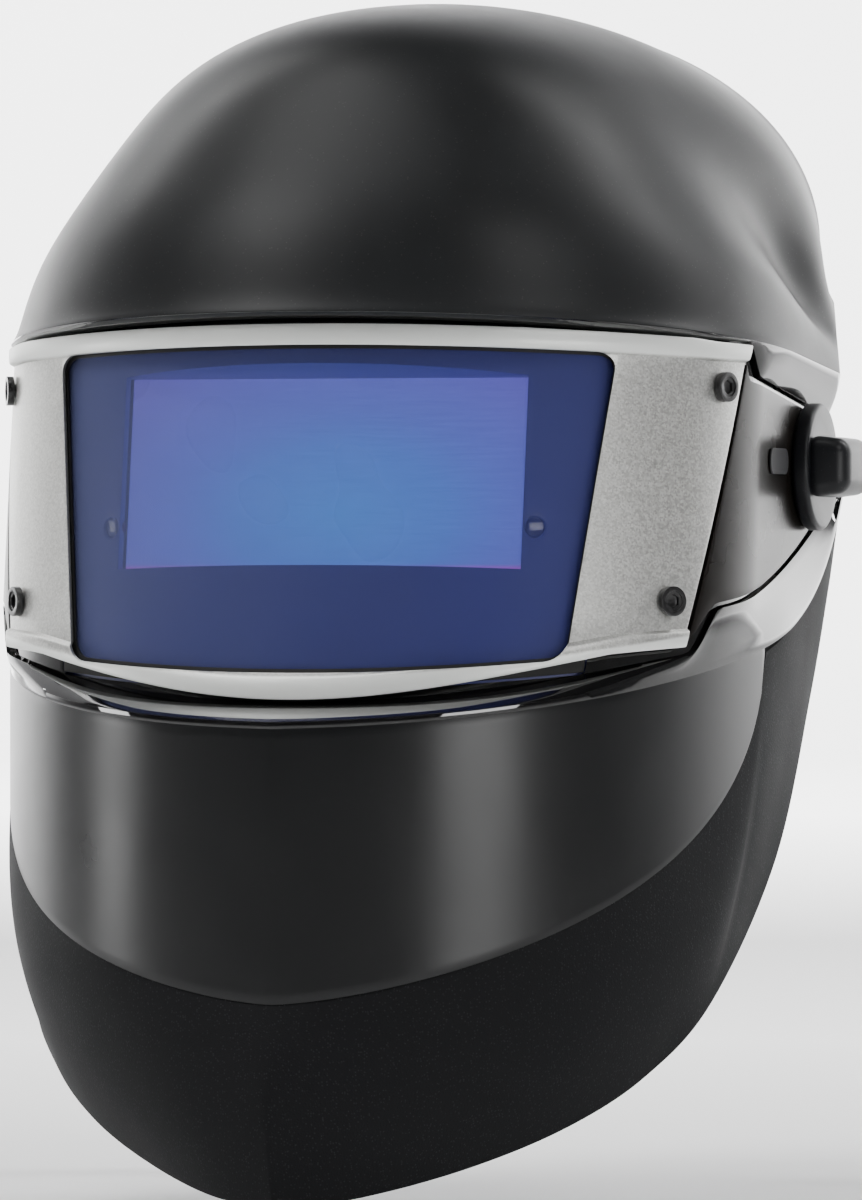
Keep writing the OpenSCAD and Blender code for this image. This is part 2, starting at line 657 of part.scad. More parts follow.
// Winged knob: a disc with a raised bar across it, whose ends round over towards the disc
wing_l = knob_d - 1;
wing_r = 4;
module tension_knob() difference() {
  union() {
    pivot_cylinder(knob_x, knob_x + knob_t, knob_d);
    intersection() {
      union() {
        translate([knob_x + knob_t - eps, -wing_l / 2, -wing_t / 2])
          cube([wing_h - wing_r + eps, wing_l, wing_t]);
        translate([knob_x + knob_t - eps, wing_r - wing_l / 2, -wing_t / 2])
          cube([wing_h + eps, wing_l - 2 * wing_r, wing_t]);
        for (y = [-1, 1])
          translate([knob_x + knob_t + wing_h - wing_r, y * (wing_l / 2 - wing_r), -wing_t / 2])
            cylinder(r = wing_r, h = wing_t);
      }
      pivot_cylinder(knob_x, knob_x + knob_t + wing_h + 1, knob_d - 2);
    }
  }
  pivot_cylinder(knob_x - 1, knob_x + 1.3, 19);
  pivot_cylinder(knob_x - 1, stud_end + slack, stud_d - 1 + 2 * slack);
}
module tension_knob_left() color([0.06, 0.06, 0.06]) tension_knob();
module tension_knob_right() color([0.06, 0.06, 0.06]) mirror([1, 0, 0]) tension_knob();

// Plate on the head band's outside, with the slot that the pivot slides along
plate_points = [[-20, -11], [22, -11], [34, 4], [34, 26], [4, 26], [-20, 10]];
slot_y = pivot_slide + tongue / 2 + slack;
module side_plate() difference() {
  translate([plate_x, 0, 0]) rotate([90, 0, 90]) linear_extrude(plate_t) polygon(rounded(plate_points, 5));
  translate([plate_x - 1, -slot_y, -tongue / 2 - slack])
    cube([plate_t + 2, 2 * slot_y, tongue + 2 * slack]);
  for (y = rivet_y)
    translate([plate_x - 1, y, rivet_z]) rotate([0, 90, 0]) cylinder(r = rivet_r + 0.05, h = 5);
}
module side_plate_left() color([0.17, 0.17, 0.18]) side_plate();
module side_plate_right() color([0.17, 0.17, 0.18]) mirror([1, 0, 0]) side_plate();

rivet_y = [6, 30];
rivet_z = 17;
rivet_r = 2;
module plate_rivets() color([0.55, 0.56, 0.58]) both_sides() for (y = rivet_y)
  translate([plate_x - seat - band_t, y, rivet_z]) rotate([0, 90, 0]) {
    cylinder(r = rivet_r, h = band_t + seat + plate_t + 0.4);
    translate([0, 0, band_t + seat + plate_t + 0.1]) cylinder(r = 3.2, h = 0.6);
  }

// ---- Headgear ----

ring_y = 14;
// Height of the head band's middle line at a depth: high at the forehead, low at the nape
function ring_z(y) = 21 - 0.3 * y - 0.0016 * pow(max(y, 0), 2);
nape_z = ring_z(band_back);

// Head ring seen from above, t inside its outer face
function ring_point(a, z, t) = let (
    c = cos(a),
    x = (band_w / 2 - t) * sin(a),
    y = ring_y - c * (c > 0 ? band_front + ring_y - t : band_back - ring_y - t)
  ) [x, y, ring_z(y) + z];

// Curved strip of the head ring between two angles
module ring_strip(a0, a1, h, near, far, n) {
  function row(z, t) = [for (k = steps(n)) ring_point(mix(a0, a1, k), z, t)];
  skin([row(h / 2, near), row(0, near), row(-h / 2, near)],
       [row(h / 2, far), row(0, far), row(-h / 2, far)]);
}

band_end = 104;
module front_band() color([0.18, 0.18, 0.19]) difference() {
  ring_strip(-band_end, band_end, band_h, 0, band_t, 44);
  both_sides() for (y = rivet_y)
    translate([plate_x - 12, y, rivet_z]) rotate([0, 90, 0]) cylinder(r = rivet_r + 0.05, h = 20);
  band_rivet_holes();
  strap_holes();
}

sweat_end = 62;
module sweat_band() color([0.30, 0.31, 0.34])
  ring_strip(-sweat_end, sweat_end, band_h + 6, band_t + slack, band_t + slack + pad_t, 28);

// Arch over the head: from the left foot across the top, t inside the outer layer near the top
strap_t = 1.6;
strap_top = crown_rise - strap_gap;
strap_y = 20;
strap_foot = 16;
function strap_point(a, y, t) = let (
    d = t * clamp01((84 - abs(a)) / 30),
    w = band_w / 2 - band_t - 0.95 - d
  ) [w * sin(a), strap_y + y, strap_foot + (strap_top - strap_foot - d) * cos(a)];
module strap_arch(a0, a1, t, n) {
  function row(y, d) = [for (k = steps(n)) let (
      a = mix(a0, a1, k),
      p = strap_point(a, y, t)
    ) p - d * [sin(a), 0, cos(a)]];
  skin([row(strap_w / 2, 0), row(-strap_w / 2, 0)],
       [row(strap_w / 2, strap_t), row(-strap_w / 2, strap_t)]);
}
peg_a = [-6, 6];
module strap_holes() {
  for (a = peg_a) translate([strap_point(a, 0, 0)[0], strap_y, strap_top - 12]) cylinder(r = 1.8, h = 16);
  both_sides() for (y = [-3, 3]) translate([band_w / 2 - 8, strap_y + y, foot_rivet_z])
    rotate([0, 90, 0]) cylinder(r = rivet_r - 0.15, h = 12);
}
foot_rivet_z = strap_foot + 2.6;
module crown_strap_left() color([0.16, 0.16, 0.17]) difference() {
  strap_arch(-16, 90, 0, 20);
  strap_holes();
}
module crown_strap_right() color([0.16, 0.16, 0.17]) difference() {
  strap_arch(-90, 16, strap_t + seat, 20);
  strap_holes();
}
module strap_pegs() color([0.10, 0.10, 0.10]) for (a = peg_a)
  translate([strap_point(a, 0, 0)[0], strap_y, strap_top - 2 * strap_t - 1.2]) {
    cylinder(r = 1.6, h = 2 * strap_t + 1.6);
    translate([0, 0, 2 * strap_t + 1.4]) cylinder(r = 3, h = 1);
  }

// Strap round the back of the head, leaning backwards from the ends of the band
occipital_lean = 24;
occipital_w = 14;
occipital_foot = [40, 2];
occipital_h = 62;
module occipital_strap() {
  half = band_w / 2 - 2 * band_t - 3.4;
  function row(s, t) = [for (k = steps(28)) let (a = mix(-90, 90, k), r = (occipital_h - t) * cos(a))
    [(half - t) * sin(a), occipital_foot[0] + r * sin(occipital_lean) + s * cos(occipital_lean),
     occipital_foot[1] + r * cos(occipital_lean) - s * sin(occipital_lean)]];
  color([0.16, 0.16, 0.17]) skin([row(occipital_w / 2, 0), row(-occipital_w / 2, 0)],
                                 [row(occipital_w / 2, strap_t), row(-occipital_w / 2, strap_t)]);
}

// Nape straps: from the band's ends into the ratchet, where each ends as a rack on its side of the pinion
rack_y = band_back - 5;
rack_end = 24;
rack_from = 28;
// Angle where the head ring comes in to the rack
rack_meet = 180 - asin((rack_from + 2.3) / (band_w / 2 - band_t - seat));
rack_h = 4.8;
teeth = 10;
rack_teeth = 8;
pitch = 2 * PI * pinion_r / teeth;
nape_h = band_h - 4;
module nape_strap(side) {
  // Stations along the strap: head ring first, then the straight rack
  function path(t) = concat(
    [for (k = steps(16)) let (
        p = ring_point(mix(99, rack_meet, k), 0, band_t + seat + t),
        b = smooth(rack_from + 16, rack_from + 1, p[0])
      ) [p[0], mix(p[1], rack_y - t, b), b]],
    [for (k = steps(6)) [mix(rack_from - 1, -rack_end, k), rack_y - t, 1]]);
  function edge(t, upper) = [for (p = path(t)) let (
      narrow = side * (upper == (side > 0) ? pinion_r + 1.2 + rack_h : pinion_r + 1.2),
      wide = upper ? nape_h / 2 : -nape_h / 2
    ) [p[0], p[1], mix(ring_z(min(p[1], rack_y)), nape_z, p[2]) + mix(wide, narrow, smooth(0.5, 1, p[2]))]];
  skin([edge(0, true), edge(0, false)], [edge(band_t, true), edge(band_t, false)]);
  for (k = [0.5 : rack_teeth])
    translate([(k - rack_teeth / 2) * pitch, rack_y, nape_z]) rotate([90, 0, 0]) linear_extrude(band_t) polygon([[-0.85, side * (pinion_r + 1.2 + eps)], [0.85, side * (pinion_r + 1.2 + eps)],
             [0.35, side * (pinion_r - 0.6)], [-0.35, side * (pinion_r - 0.6)]]);
}
module nape_strap_left() color([0.18, 0.18, 0.19]) difference() {
  nape_strap(1);
  band_rivet_holes();
}
module nape_strap_right() color([0.18, 0.18, 0.19]) difference() {
  mirror([1, 0, 0]) nape_strap(-1);
  band_rivet_holes();
}

// Rivets through the band's ends and the nape straps, and through the crown straps' feet
band_rivet_a = 100.8;
module at_band_rivet(t) {
  p = ring_point(band_rivet_a, 0, t);
  translate(p) rotate([0, 90, 0]) children();
}
module band_rivet_holes() both_sides() at_band_rivet(0) translate([0, 0, -9]) cylinder(r = rivet_r, h = 18);
module strap_rivets() color([0.55, 0.56, 0.58]) both_sides() {
  at_band_rivet(0) translate([0, 0, -2 * band_t - 1]) {
    cylinder(r = rivet_r - 0.05, h = 2 * band_t + 1.8);
    translate([0, 0, 2 * band_t + 1.5]) cylinder(r = 3, h = 0.5);
  }
  for (y = [-3, 3]) translate([band_w / 2 - band_t - strap_t - 1.4, strap_y + y, foot_rivet_z])
    rotate([0, 90, 0]) cylinder(r = rivet_r - 0.2, h = band_t + strap_t + 1.2);
}

// ---- Ratchet at the nape ----

box_w = 54;
box_h = 2 * (pinion_r + rack_h + 4.2);
box_front = rack_y - band_t - slack - 2;
box_back = rack_y + slack;
shaft_r = 3;
cover_t = 2.4;
cover_back = box_back + seat + cover_t;
screw_x = box_w / 2 - 4;
cover_screw_z = pinion_r + rack_h + 2.6;
// Detents that the pawl clicks into, and grips round the knob
detents = 24;
grips = 12;

module nape_box(y0, y1, w, h, r) translate([0, y1, nape_z]) rotate([90, 0, 0]) linear_extrude(y1 - y0)
  polygon(rounded([[-w / 2, -h / 2], [w / 2, -h / 2], [w / 2, h / 2], [-w / 2, h / 2]], r));
module nape_cylinder(y0, y1, d, x = 0, z = 0) translate([x, y1, nape_z + z]) rotate([90, 0, 0])
  cylinder(d = d, h = y1 - y0);

module ratchet_housing() color([0.15, 0.15, 0.16]) difference() {
  nape_box(box_front, box_back, box_w, box_h, 3);
  translate([-box_w, box_front + 2, nape_z - pinion_r - 1.2 - rack_h - slack])
    cube([2 * box_w, 10, 2 * (pinion_r + 1.2 + rack_h + slack)]);
}
module ratchet_cover() color([0.15, 0.15, 0.16]) difference() {
  union() {
    nape_box(box_back + seat, cover_back, box_w, box_h, 3);
    nape_cylinder(cover_back - eps, cover_back + 3, 28);
  }
  for (i = [1 : detents])
    translate([0, cover_back + 3, nape_z]) rotate([90, 360 / detents * i, 0]) translate([11, 0, -eps])
      cylinder(r = 1.6, h = 3, $fn = 6);
  nape_cylinder(cover_back, cover_back + 4, 22.5);
  nape_cylinder(box_back - 1, cover_back + 4, 2 * (shaft_r + run_gap));
  for (x = [-screw_x, screw_x]) for (z = [-cover_screw_z, cover_screw_z])
    nape_cylinder(box_back - 1, cover_back + 1, 2.6, x, z);
}
module cover_screws() color([0.60, 0.61, 0.63])
  for (x = [-screw_x, screw_x]) for (z = [-cover_screw_z, cover_screw_z]) difference() {
    union() {
      nape_cylinder(box_back + seat, cover_back + 0.5, 2.4, x, z);
      nape_cylinder(cover_back + 0.1, cover_back + 1, 3.6, x, z);
    }
    translate([x - 2.5, cover_back + 0.6, nape_z + z - 0.3]) cube([5, 2, 0.6]);
  }
module ratchet_pinion() color([0.80, 0.80, 0.78]) {
  translate([0, rack_y, nape_z]) rotate([90, 0, 0]) linear_extrude(band_t)
    polygon([for (i = [0 : teeth - 1]) each [for (c = [[-13, -1.1], [-5, 0.6], [5, 0.6], [13, -1.1]])
      let (a = 90 + 360 / teeth * i + c[0]) (pinion_r + c[1]) * [cos(a), sin(a)]]]);
  nape_cylinder(rack_y - eps, cover_back + 12, 2 * shaft_r);
}
module ratchet_pawl() color([0.82, 0.82, 0.80]) difference() {
  union() {
    nape_cylinder(cover_back + slack, cover_back + 2, 14);
    for (i = [0 : 2]) translate([0, cover_back + 2, nape_z]) rotate([90, 120 * i, 0])
      translate([0, -1.5, 0]) cube([10.8, 3, 2 - slack]);
  }
  nape_cylinder(cover_back - 1, cover_back + 4, 2 * shaft_r + 0.1);
}
module ratchet_knob() color([0.06, 0.06, 0.06]) difference() {
  nape_cylinder(cover_back + slack, cover_back + 13, ratchet_d);
  nape_cylinder(cover_back - 1, cover_back + 3 + slack, 28 + 2 * slack);
  nape_cylinder(cover_back, cover_back + 12.2, 2 * shaft_r + 0.1);
  for (i = [0.5 : grips]) translate([0, cover_back + 14, nape_z]) rotate([90, 360 / grips * i, 0])
    translate([ratchet_d / 2 + 1, 0, -1]) cylinder(r = 2.4, h = 20);
}
module nape_pad() color([0.30, 0.31, 0.34])
  nape_box(box_front - slack - pad_t, box_front - slack, box_w + 2, box_h + 4, 6);

crown_shell();
visor_frame();
chin_shell();
neck_skirt();
side_cover_left();
side_cover_right();
side_badges();
front_panel();
panel_screws();
screw_inserts();
window_gasket();
cover_lens();
filter_bezel();
filter_housing();
filter_glass();
sensor_windows();
photo_diodes();
circuit_board();
battery_trays();
battery_cells();
indicator_leds();
power_button();
shade_button();
delay_button();
inner_cover_plate();
filter_clips();
friction_washers();
pivot_carrier_left();
pivot_carrier_right();
pivot_stud_left();
pivot_stud_right();
knob_washers();
tension_knob_left();
tension_knob_right();
side_plate_left();
side_plate_right();
plate_rivets();
front_band();
sweat_band();
crown_strap_left();
crown_strap_right();
strap_pegs();
occipital_strap();
nape_strap_left();
nape_strap_right();
strap_rivets();
ratchet_housing();
ratchet_cover();
cover_screws();
ratchet_pinion();
ratchet_knob();
ratchet_pawl();
nape_pad();
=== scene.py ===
"""Welding helmet: the detailed visual model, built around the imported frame."""
import logging
import math
from dataclasses import dataclass, field
from enum import Enum
from typing import Callable, Sequence

import bmesh
import bpy
from mathutils import Matrix, Vector


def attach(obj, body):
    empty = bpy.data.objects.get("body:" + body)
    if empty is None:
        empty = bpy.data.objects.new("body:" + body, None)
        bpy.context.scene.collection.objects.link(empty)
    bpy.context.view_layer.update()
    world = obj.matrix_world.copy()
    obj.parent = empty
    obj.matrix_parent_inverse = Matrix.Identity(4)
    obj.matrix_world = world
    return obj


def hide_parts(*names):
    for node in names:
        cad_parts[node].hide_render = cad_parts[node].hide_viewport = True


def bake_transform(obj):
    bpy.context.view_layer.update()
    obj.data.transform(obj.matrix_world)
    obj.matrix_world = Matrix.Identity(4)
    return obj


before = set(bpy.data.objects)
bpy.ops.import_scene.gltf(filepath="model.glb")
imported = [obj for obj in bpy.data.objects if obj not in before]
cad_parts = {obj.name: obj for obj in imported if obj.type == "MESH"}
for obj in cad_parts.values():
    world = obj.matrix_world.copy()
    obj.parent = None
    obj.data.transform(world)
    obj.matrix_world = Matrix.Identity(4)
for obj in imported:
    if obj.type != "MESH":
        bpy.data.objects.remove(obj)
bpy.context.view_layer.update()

logging.basicConfig(level=logging.INFO, format="%(message)s")
LOG = logging.getLogger("helmet")

MM = 0.001
Point = Sequence[float]
Place = Callable[[float, float], Point]


def mix(a: float, b: float, t: float) -> float:
    """Return the value a share t of the way from a to b."""
    return a + (b - a) * t


def smooth(a: float, b: float, x: float) -> float:
    """Return 0 before a, 1 after b and an eased value between."""
    t = min(max((x - a) / (b - a), 0.0), 1.0)
    return t * t * (3 - 2 * t)


def spline(t: float, stations: Sequence[Point]) -> Vector:
    """Return a point on a smooth curve through evenly spaced stations.

    Args:
        t: share of the way along the curve, from 0 to 1.
        stations: the points that the curve passes through.

    Returns:
        The point at t.
    """
    last = len(stations) - 1
    s = min(max(t, 0.0), 1.0) * last
    i = min(int(s), last - 1)
    f = s - i
    a, b, c, d = (Vector(stations[k]) for k in (max(i - 1, 0), i, i + 1, min(i + 2, last)))
    return 0.5 * (2 * b + (c - a) * f + (2 * a - 5 * b + 4 * c - d) * f * f
                  + (3 * b - a - 3 * c + d) * f ** 3)


@dataclass(frozen=True)
class HelmetForm:
    """The surfaces that the shell's pieces share, in millimetres."""

    half_w: float = 94.0
    crown_rise: float = 111.0
    brow_reach: float = 112.0
    brow_rise: float = 34.5
    crown_back: float = 57.0
    chin_reach: float = 133.5
    chin_drop: float = 123.0
    skirt_drop: float = 169.5
    crease: float = 1.5
    visor_r: float = 102.0
    visor_reach: float = 110.9
    lean: float = 0.15
    turn: float = 52.0
    bend: float = 0.72
    joint: float = -0.02
    panel_t: float = 1.5
    wall: float = 2.2
    rear_top: float = 20.0
    rear_bottom: float = 28.0
    rim_lip: float = 1.6
    jaw_end: float = 79.0
    skirt_turn: float = 0.62

    @property
    def side_x(self) -> float:
        """Return the X of the visor's flat sides."""
        return self.half_w - 3.5

    @property
    def corner_r(self) -> float:
        """Return the radius of the visor's corners."""
        s = math.sin(math.radians(self.turn))
        return (self.side_x - self.visor_r * s) / (1 - s)

    @property
    def visor_y(self) -> float:
        """Return the Y of the front arc's centre."""
        return self.visor_r - self.visor_reach

    @property
    def corner_y(self) -> float:
        """Return the Y of the corner arcs' centres."""
        return self.visor_y - (self.visor_r - self.corner_r) * math.cos(math.radians(self.turn))

    def crown(self, u: float, v: float, t: float = 0.0) -> Vector:
        """Return a point of the crown.

        Args:
            u: place across, from -1 at the right foot to 1 at the left foot.
            v: place along, from 0 at the brow to 1 at the back.
            t: depth below the outer face.

        Returns:
            The point.
        """
        spine = [(-self.brow_reach, self.brow_rise, self.half_w),
                 (-self.brow_reach + 12, mix(self.brow_rise, self.crown_rise, 0.41),
                  self.half_w - 3),
                 (-self.brow_reach + 46, self.crown_rise - 10, self.half_w - 14),
                 (-2, self.crown_rise, self.half_w - 8),
                 (self.crown_back, self.crown_rise - 2, self.half_w - 12)]
        m = spline(v, spine)
        foot = Vector((mix(20, 46, v), mix(22.3, 40, v)))
        d = Vector((m[0], m[1])) - foot
        h = d.length - t
        e = d.normalized()
        f = h * mix(0.66, 0.82, v)
        s = abs(u)
        if s < self.bend:
            a = math.radians(90 / self.bend * s)
            x, y = (m[2] - t) * math.sin(a), h - f + f * math.cos(a)
        else:
            x, y = m[2] - t, (h - f) * (1 - s) / (1 - self.bend)
        k = max((s - self.bend) / (1 - self.bend), 0.0) ** 2
        x = mix(x, self.half_w - 8 * v - t, k)
        return Vector((math.copysign(x, u), foot[0] + e[0] * y, foot[1] + e[1] * y))

    def visor(self, a: float, z: float, off: float = 0.0) -> Vector:
        """Return a point of the visor's face at an angle from the front.

        Args:
            a: the angle; past 90 it is 90 plus a length straight back.
            z: the height.
            off: how far outside the face.

        Returns:
            The point.
        """
        s = abs(a)
        if s < self.turn:
            r = math.radians(s)
            x = (self.visor_r + off) * math.sin(r)
            y = self.visor_y - (self.visor_r + off) * math.cos(r)
        else:
            r = math.radians(min(s, 90))
            x = ((self.visor_r - self.corner_r) * math.sin(math.radians(self.turn))
                 + (self.corner_r + off) * math.sin(r))
            y = self.corner_y - (self.corner_r + off) * math.cos(r) + max(s - 90, 0)
        return Vector((math.copysign(x, a), y + self.lean * z, z))

    def column(self, u: float, flat: float) -> float:
        """Return the angle of a share u of the way round the visor and its flat side."""
        front = self.visor_r * math.radians(self.turn)
        corner = self.corner_r * math.radians(90 - self.turn)
        s = u * (front + corner + flat)
        if s < front:
            return math.degrees(s / self.visor_r)
        if s < front + corner:
            return self.turn + math.degrees((s - front) / self.corner_r)
        return 90 + s - front - corner

    def chin(self, a: float, t: float = 0.0) -> Vector:
        """Return the chin's plan at an angle from the front, t inside the outer face."""
        s = min(abs(a), 90)
        x = (self.half_w - 1 - t) * math.sin(math.radians(s))
        y = (-20 - (self.chin_reach - 20 - t) * math.cos(math.radians(s)) + max(abs(a) - 90, 0)
             - self.crease * max(1 - x / 30, 0) ** 2)
        return Vector((math.copysign(x, a), y))

    def rim_z(self, y: float) -> float:
        """Return the height of the line where the rim meets the chin."""
        d = y + self.chin_reach + self.crease
        return -59 + 0.19 * d + 11 * (max(d, 0) / 147) ** 8

    def jaw_z(self, a: float) -> float:
        """Return the height of the chin's lower edge."""
        return -42 - (self.chin_drop - 42) * math.sqrt(max(1 - (abs(a) / self.jaw_end) ** 1.5, 0))

    def panel_top(self, x: float) -> float:
        """Return the height of the front panel's top edge."""
        return 31.8 - 4.5 * (x / 89) ** 2

    def panel_bottom(self, x: float) -> float:
        """Return the height of the front panel's bottom edge."""
        return -54.1 + 10.5 * (x / 81) ** 2

    def panel_end(self, z: float) -> float:
        """Return the angle where the panel's slanted end lies."""
        return 53.6 + (z + 41) * 0.337

    def upper_rim(self, x: float, y: float) -> float:
        """Return the height of the upper rim's inner edge."""
        return mix(self.panel_top(x) + 0.8, 21.6 - 0.12 * (y + 51), smooth(-48.5, -41, y))

    def lower_rim(self, x: float, y: float) -> float:
        """Return the height of the lower rim's inner edge."""
        d = max(y + 74, 0)
        return mix(self.panel_bottom(x) - 0.8, -34 + 0.1 * d + 0.0019 * d * d,
                   smooth(-75.5, -67, y))


FORM = HelmetForm()


# ---- Meshes ----

def link(name: str, bm: bmesh.types.BMesh) -> bpy.types.Object:
    """Make an object at the origin from a mesh in millimetres, and free the mesh."""
    bm.transform(Matrix.Scale(MM, 4))
    mesh = bpy.data.meshes.new(name)
    bm.to_mesh(mesh)
    bm.free()
    obj = bpy.data.objects.new(name, mesh)
    bpy.context.scene.collection.objects.link(obj)
    return obj


def grid(columns: int, rows: int, place: Place) -> bmesh.types.BMesh:
    """Make a sheet by moving the points of a flat grid.

    Args:
        columns: how many cells across; u runs from -1 to 1, to the right seen from outside.
        rows: how many cells up; v runs from 0 to 1, upwards seen from outside.
        place: gives the place of the point (u, v), in millimetres.

    Returns:
        The mesh, with the cells' u and v as a UV map.
    """
    bm = bmesh.new()
    bmesh.ops.create_grid(bm, x_segments=columns, y_segments=rows, size=1)
    layer = bm.loops.layers.uv.new("surface")
    for face in bm.faces:
        for loop in face.loops:
            loop[layer].uv = ((loop.vert.co.x + 1) / 2, (loop.vert.co.y + 1) / 2)
    for vert in bm.verts:
        vert.co = place(vert.co.x, (vert.co.y + 1) / 2)
    return bm


def closed(columns: int, rows: int, place: Place) -> bmesh.types.BMesh:
    """Make a closed form: v goes once round the section, and both ends shrink to a point."""
    bm = grid(columns, rows, place)
    bmesh.ops.remove_doubles(bm, verts=bm.verts, dist=0.005)
    bmesh.ops.recalc_face_normals(bm, faces=bm.faces)
    return bm


def walled(columns: int, rows: int, outer: Place, inner: Place) -> bmesh.types.BMesh:
    """Make a wall between an outer and an inner sheet, closed round its edge."""
    inside = grid(columns, rows, inner)
    bmesh.ops.reverse_faces(inside, faces=inside.faces)
    bm = joined([grid(columns, rows, outer), inside])
    bmesh.ops.bridge_loops(bm, edges=[e for e in bm.edges if e.is_boundary])
    return bm


def outline_prism(corners: Sequence[Point], radius: float, depth: float,
                  bow: Callable[[float, float], float] | None = None) -> bmesh.types.BMesh:
    """Make a prism along Y from a corner-rounded outline in X and Z.

    Args:
        corners: the outline's corners, as (x, z), anticlockwise seen from the front.
        radius: the corners' rounding.
        depth: the prism's length along Y, half on each side of Y = 0.
        bow: gives a point's height where the long edges are bowed.

    Returns:
        The mesh.
    """
    bm = bmesh.new()
    face = bm.faces.new([bm.verts.new((x, -depth / 2, z)) for x, z in corners])
    bmesh.ops.bevel(bm, geom=list(bm.verts), offset=radius, offset_type="OFFSET", segments=6,
                    profile=0.5, affect="VERTICES", material=-1)
    if bow:
        long = [e for e in bm.edges if e.calc_length() > 30]
        bmesh.ops.subdivide_edges(bm, edges=long, cuts=24)
        for vert in bm.verts:
            vert.co.z = bow(vert.co.x, vert.co.z)
    out = bmesh.ops.extrude_face_region(bm, geom=list(bm.faces))
    moved = [g for g in out["geom"] if isinstance(g, bmesh.types.BMVert)]
    bmesh.ops.translate(bm, verts=moved, vec=(0, depth, 0))
    bmesh.ops.holes_fill(bm, edges=[e for e in bm.edges if e.is_boundary], sides=0)
    bmesh.ops.recalc_face_normals(bm, faces=bm.faces)
    return bm


def cylinder(radius: float, length: float, segments: int = 64,
             edge: float = 0.0) -> bmesh.types.BMesh:
    """Make a cylinder from Z = 0 up to its length, its rims rounded by edge."""
    bm = bmesh.new()
    bmesh.ops.create_cone(bm, cap_ends=True, segments=segments, radius1=radius,
                          radius2=radius, depth=length,
                          matrix=Matrix.Translation((0, 0, length / 2)))
    if edge:
        rims = [e for e in bm.edges if abs(e.verts[0].co.z - e.verts[1].co.z) < 1e-6]
        bmesh.ops.bevel(bm, geom=rims, offset=edge, segments=4, profile=0.5, affect="EDGES",
                        material=-1)
    return bm


def block(low: Point, high: Point, edge: float = 0.0, segments: int = 4) -> bmesh.types.BMesh:
    """Make a box between two corners, its edges rounded by edge."""
    bm = bmesh.new()
    bmesh.ops.create_cube(bm, size=1)
    size = [h - l for l, h in zip(low, high)]
    bmesh.ops.scale(bm, verts=bm.verts, vec=size)
    bmesh.ops.translate(bm, verts=bm.verts, vec=[(l + h) / 2 for l, h in zip(low, high)])
    if edge:
        bmesh.ops.bevel(bm, geom=list(bm.edges), offset=edge, segments=segments, profile=0.5,
                        affect="EDGES", material=-1)
    return bm


def placed(bm: bmesh.types.BMesh, matrix: Matrix) -> bmesh.types.BMesh:
    """Move a mesh by a matrix and return it; a mirroring matrix has its faces turned back."""
    bm.transform(matrix)
    if matrix.determinant() < 0:
        bmesh.ops.reverse_faces(bm, faces=bm.faces)
    return bm


def joined(parts: Sequence[bmesh.types.BMesh]) -> bmesh.types.BMesh:
    """Put several meshes into the first one and return it."""
    first = parts[0]
    for other in parts[1:]:
        mesh = bpy.data.meshes.new("part")
        other.to_mesh(mesh)
        other.free()
        first.from_mesh(mesh)
        bpy.data.meshes.remove(mesh)
    return first


def mirrored(bm: bmesh.types.BMesh) -> bmesh.types.BMesh:
    """Return a mesh with its mirror image across X = 0 added."""
    return joined([bm, placed(bm.copy(), Matrix.Scale(-1, 4, (1, 0, 0)))])


class Cut(Enum):
    """How a second solid changes a piece."""

    AWAY = "DIFFERENCE"
    WITH = "UNION"


class Piece:
    """One visible object and the steps that finish its mesh."""

    def __init__(self, name: str, bm: bmesh.types.BMesh) -> None:
        """Make the piece from a mesh in millimetres."""
        self.obj = link(name, bm)

    def wall(self, thickness: float) -> "Piece":
        """Give a sheet a wall on its inner side."""
        mod = self.obj.modifiers.new("wall", "SOLIDIFY")
        mod.thickness = thickness * MM
        mod.offset = -1
        mod.use_even_offset = True
        return self

    def cut(self, bm: bmesh.types.BMesh, way: Cut = Cut.AWAY) -> "Piece":
        """Cut another solid away from the piece, or join it to it."""
        other = link("cutter", bm)
        mod = self.obj.modifiers.new("cut", "BOOLEAN")
        mod.operation = way.value
        mod.solver = "EXACT"
        mod.object = other
        self.apply()
        bpy.data.objects.remove(other)
        return self

    def edges(self, width: float, angle: float = 38.0, segments: int = 3) -> "Piece":
        """Round the edges that are sharper than an angle."""
        mod = self.obj.modifiers.new("edges", "BEVEL")
        mod.width = width * MM
        mod.segments = segments
        mod.limit_method = "ANGLE"
        mod.angle_limit = math.radians(angle)
        mod.use_clamp_overlap = True
        mod.miter_outer = "MITER_ARC"
        return self

    def apply(self) -> "Piece":
        """Bake the modifiers into the mesh."""
        bpy.context.view_layer.update()
        graph = bpy.context.evaluated_depsgraph_get()
        mesh = bpy.data.meshes.new_from_object(self.obj.evaluated_get(graph))
        old = self.obj.data
        self.obj.modifiers.clear()
        self.obj.data = mesh
        bpy.data.meshes.remove(old)
        mesh.name = self.obj.name
        return self

    def finish(self, body: str, material: bpy.types.Material, slot: str, *nodes: str,
               sharp: float = 40.0) -> bpy.types.Object:
        """Shade and dress the piece and tie it to the frame.

        Args:
            body: the body that it rides on.
            material: its finish.
            slot: the record's material slot; not used.
            nodes: the frame's nodes that it stands for.
            sharp: edges over this angle stay crisp.

        Returns:
            The finished object.
        """
        self.apply()
        mesh = self.obj.data
        mesh.shade_smooth()
        mesh.set_sharp_from_angle(angle=math.radians(sharp))
        mesh.materials.clear()
        mesh.materials.append(material)
        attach(self.obj, body)
        if nodes:
            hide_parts(*nodes)
        LOG.info("%s: %d faces on %s", self.obj.name, len(mesh.polygons), body)
        return self.obj


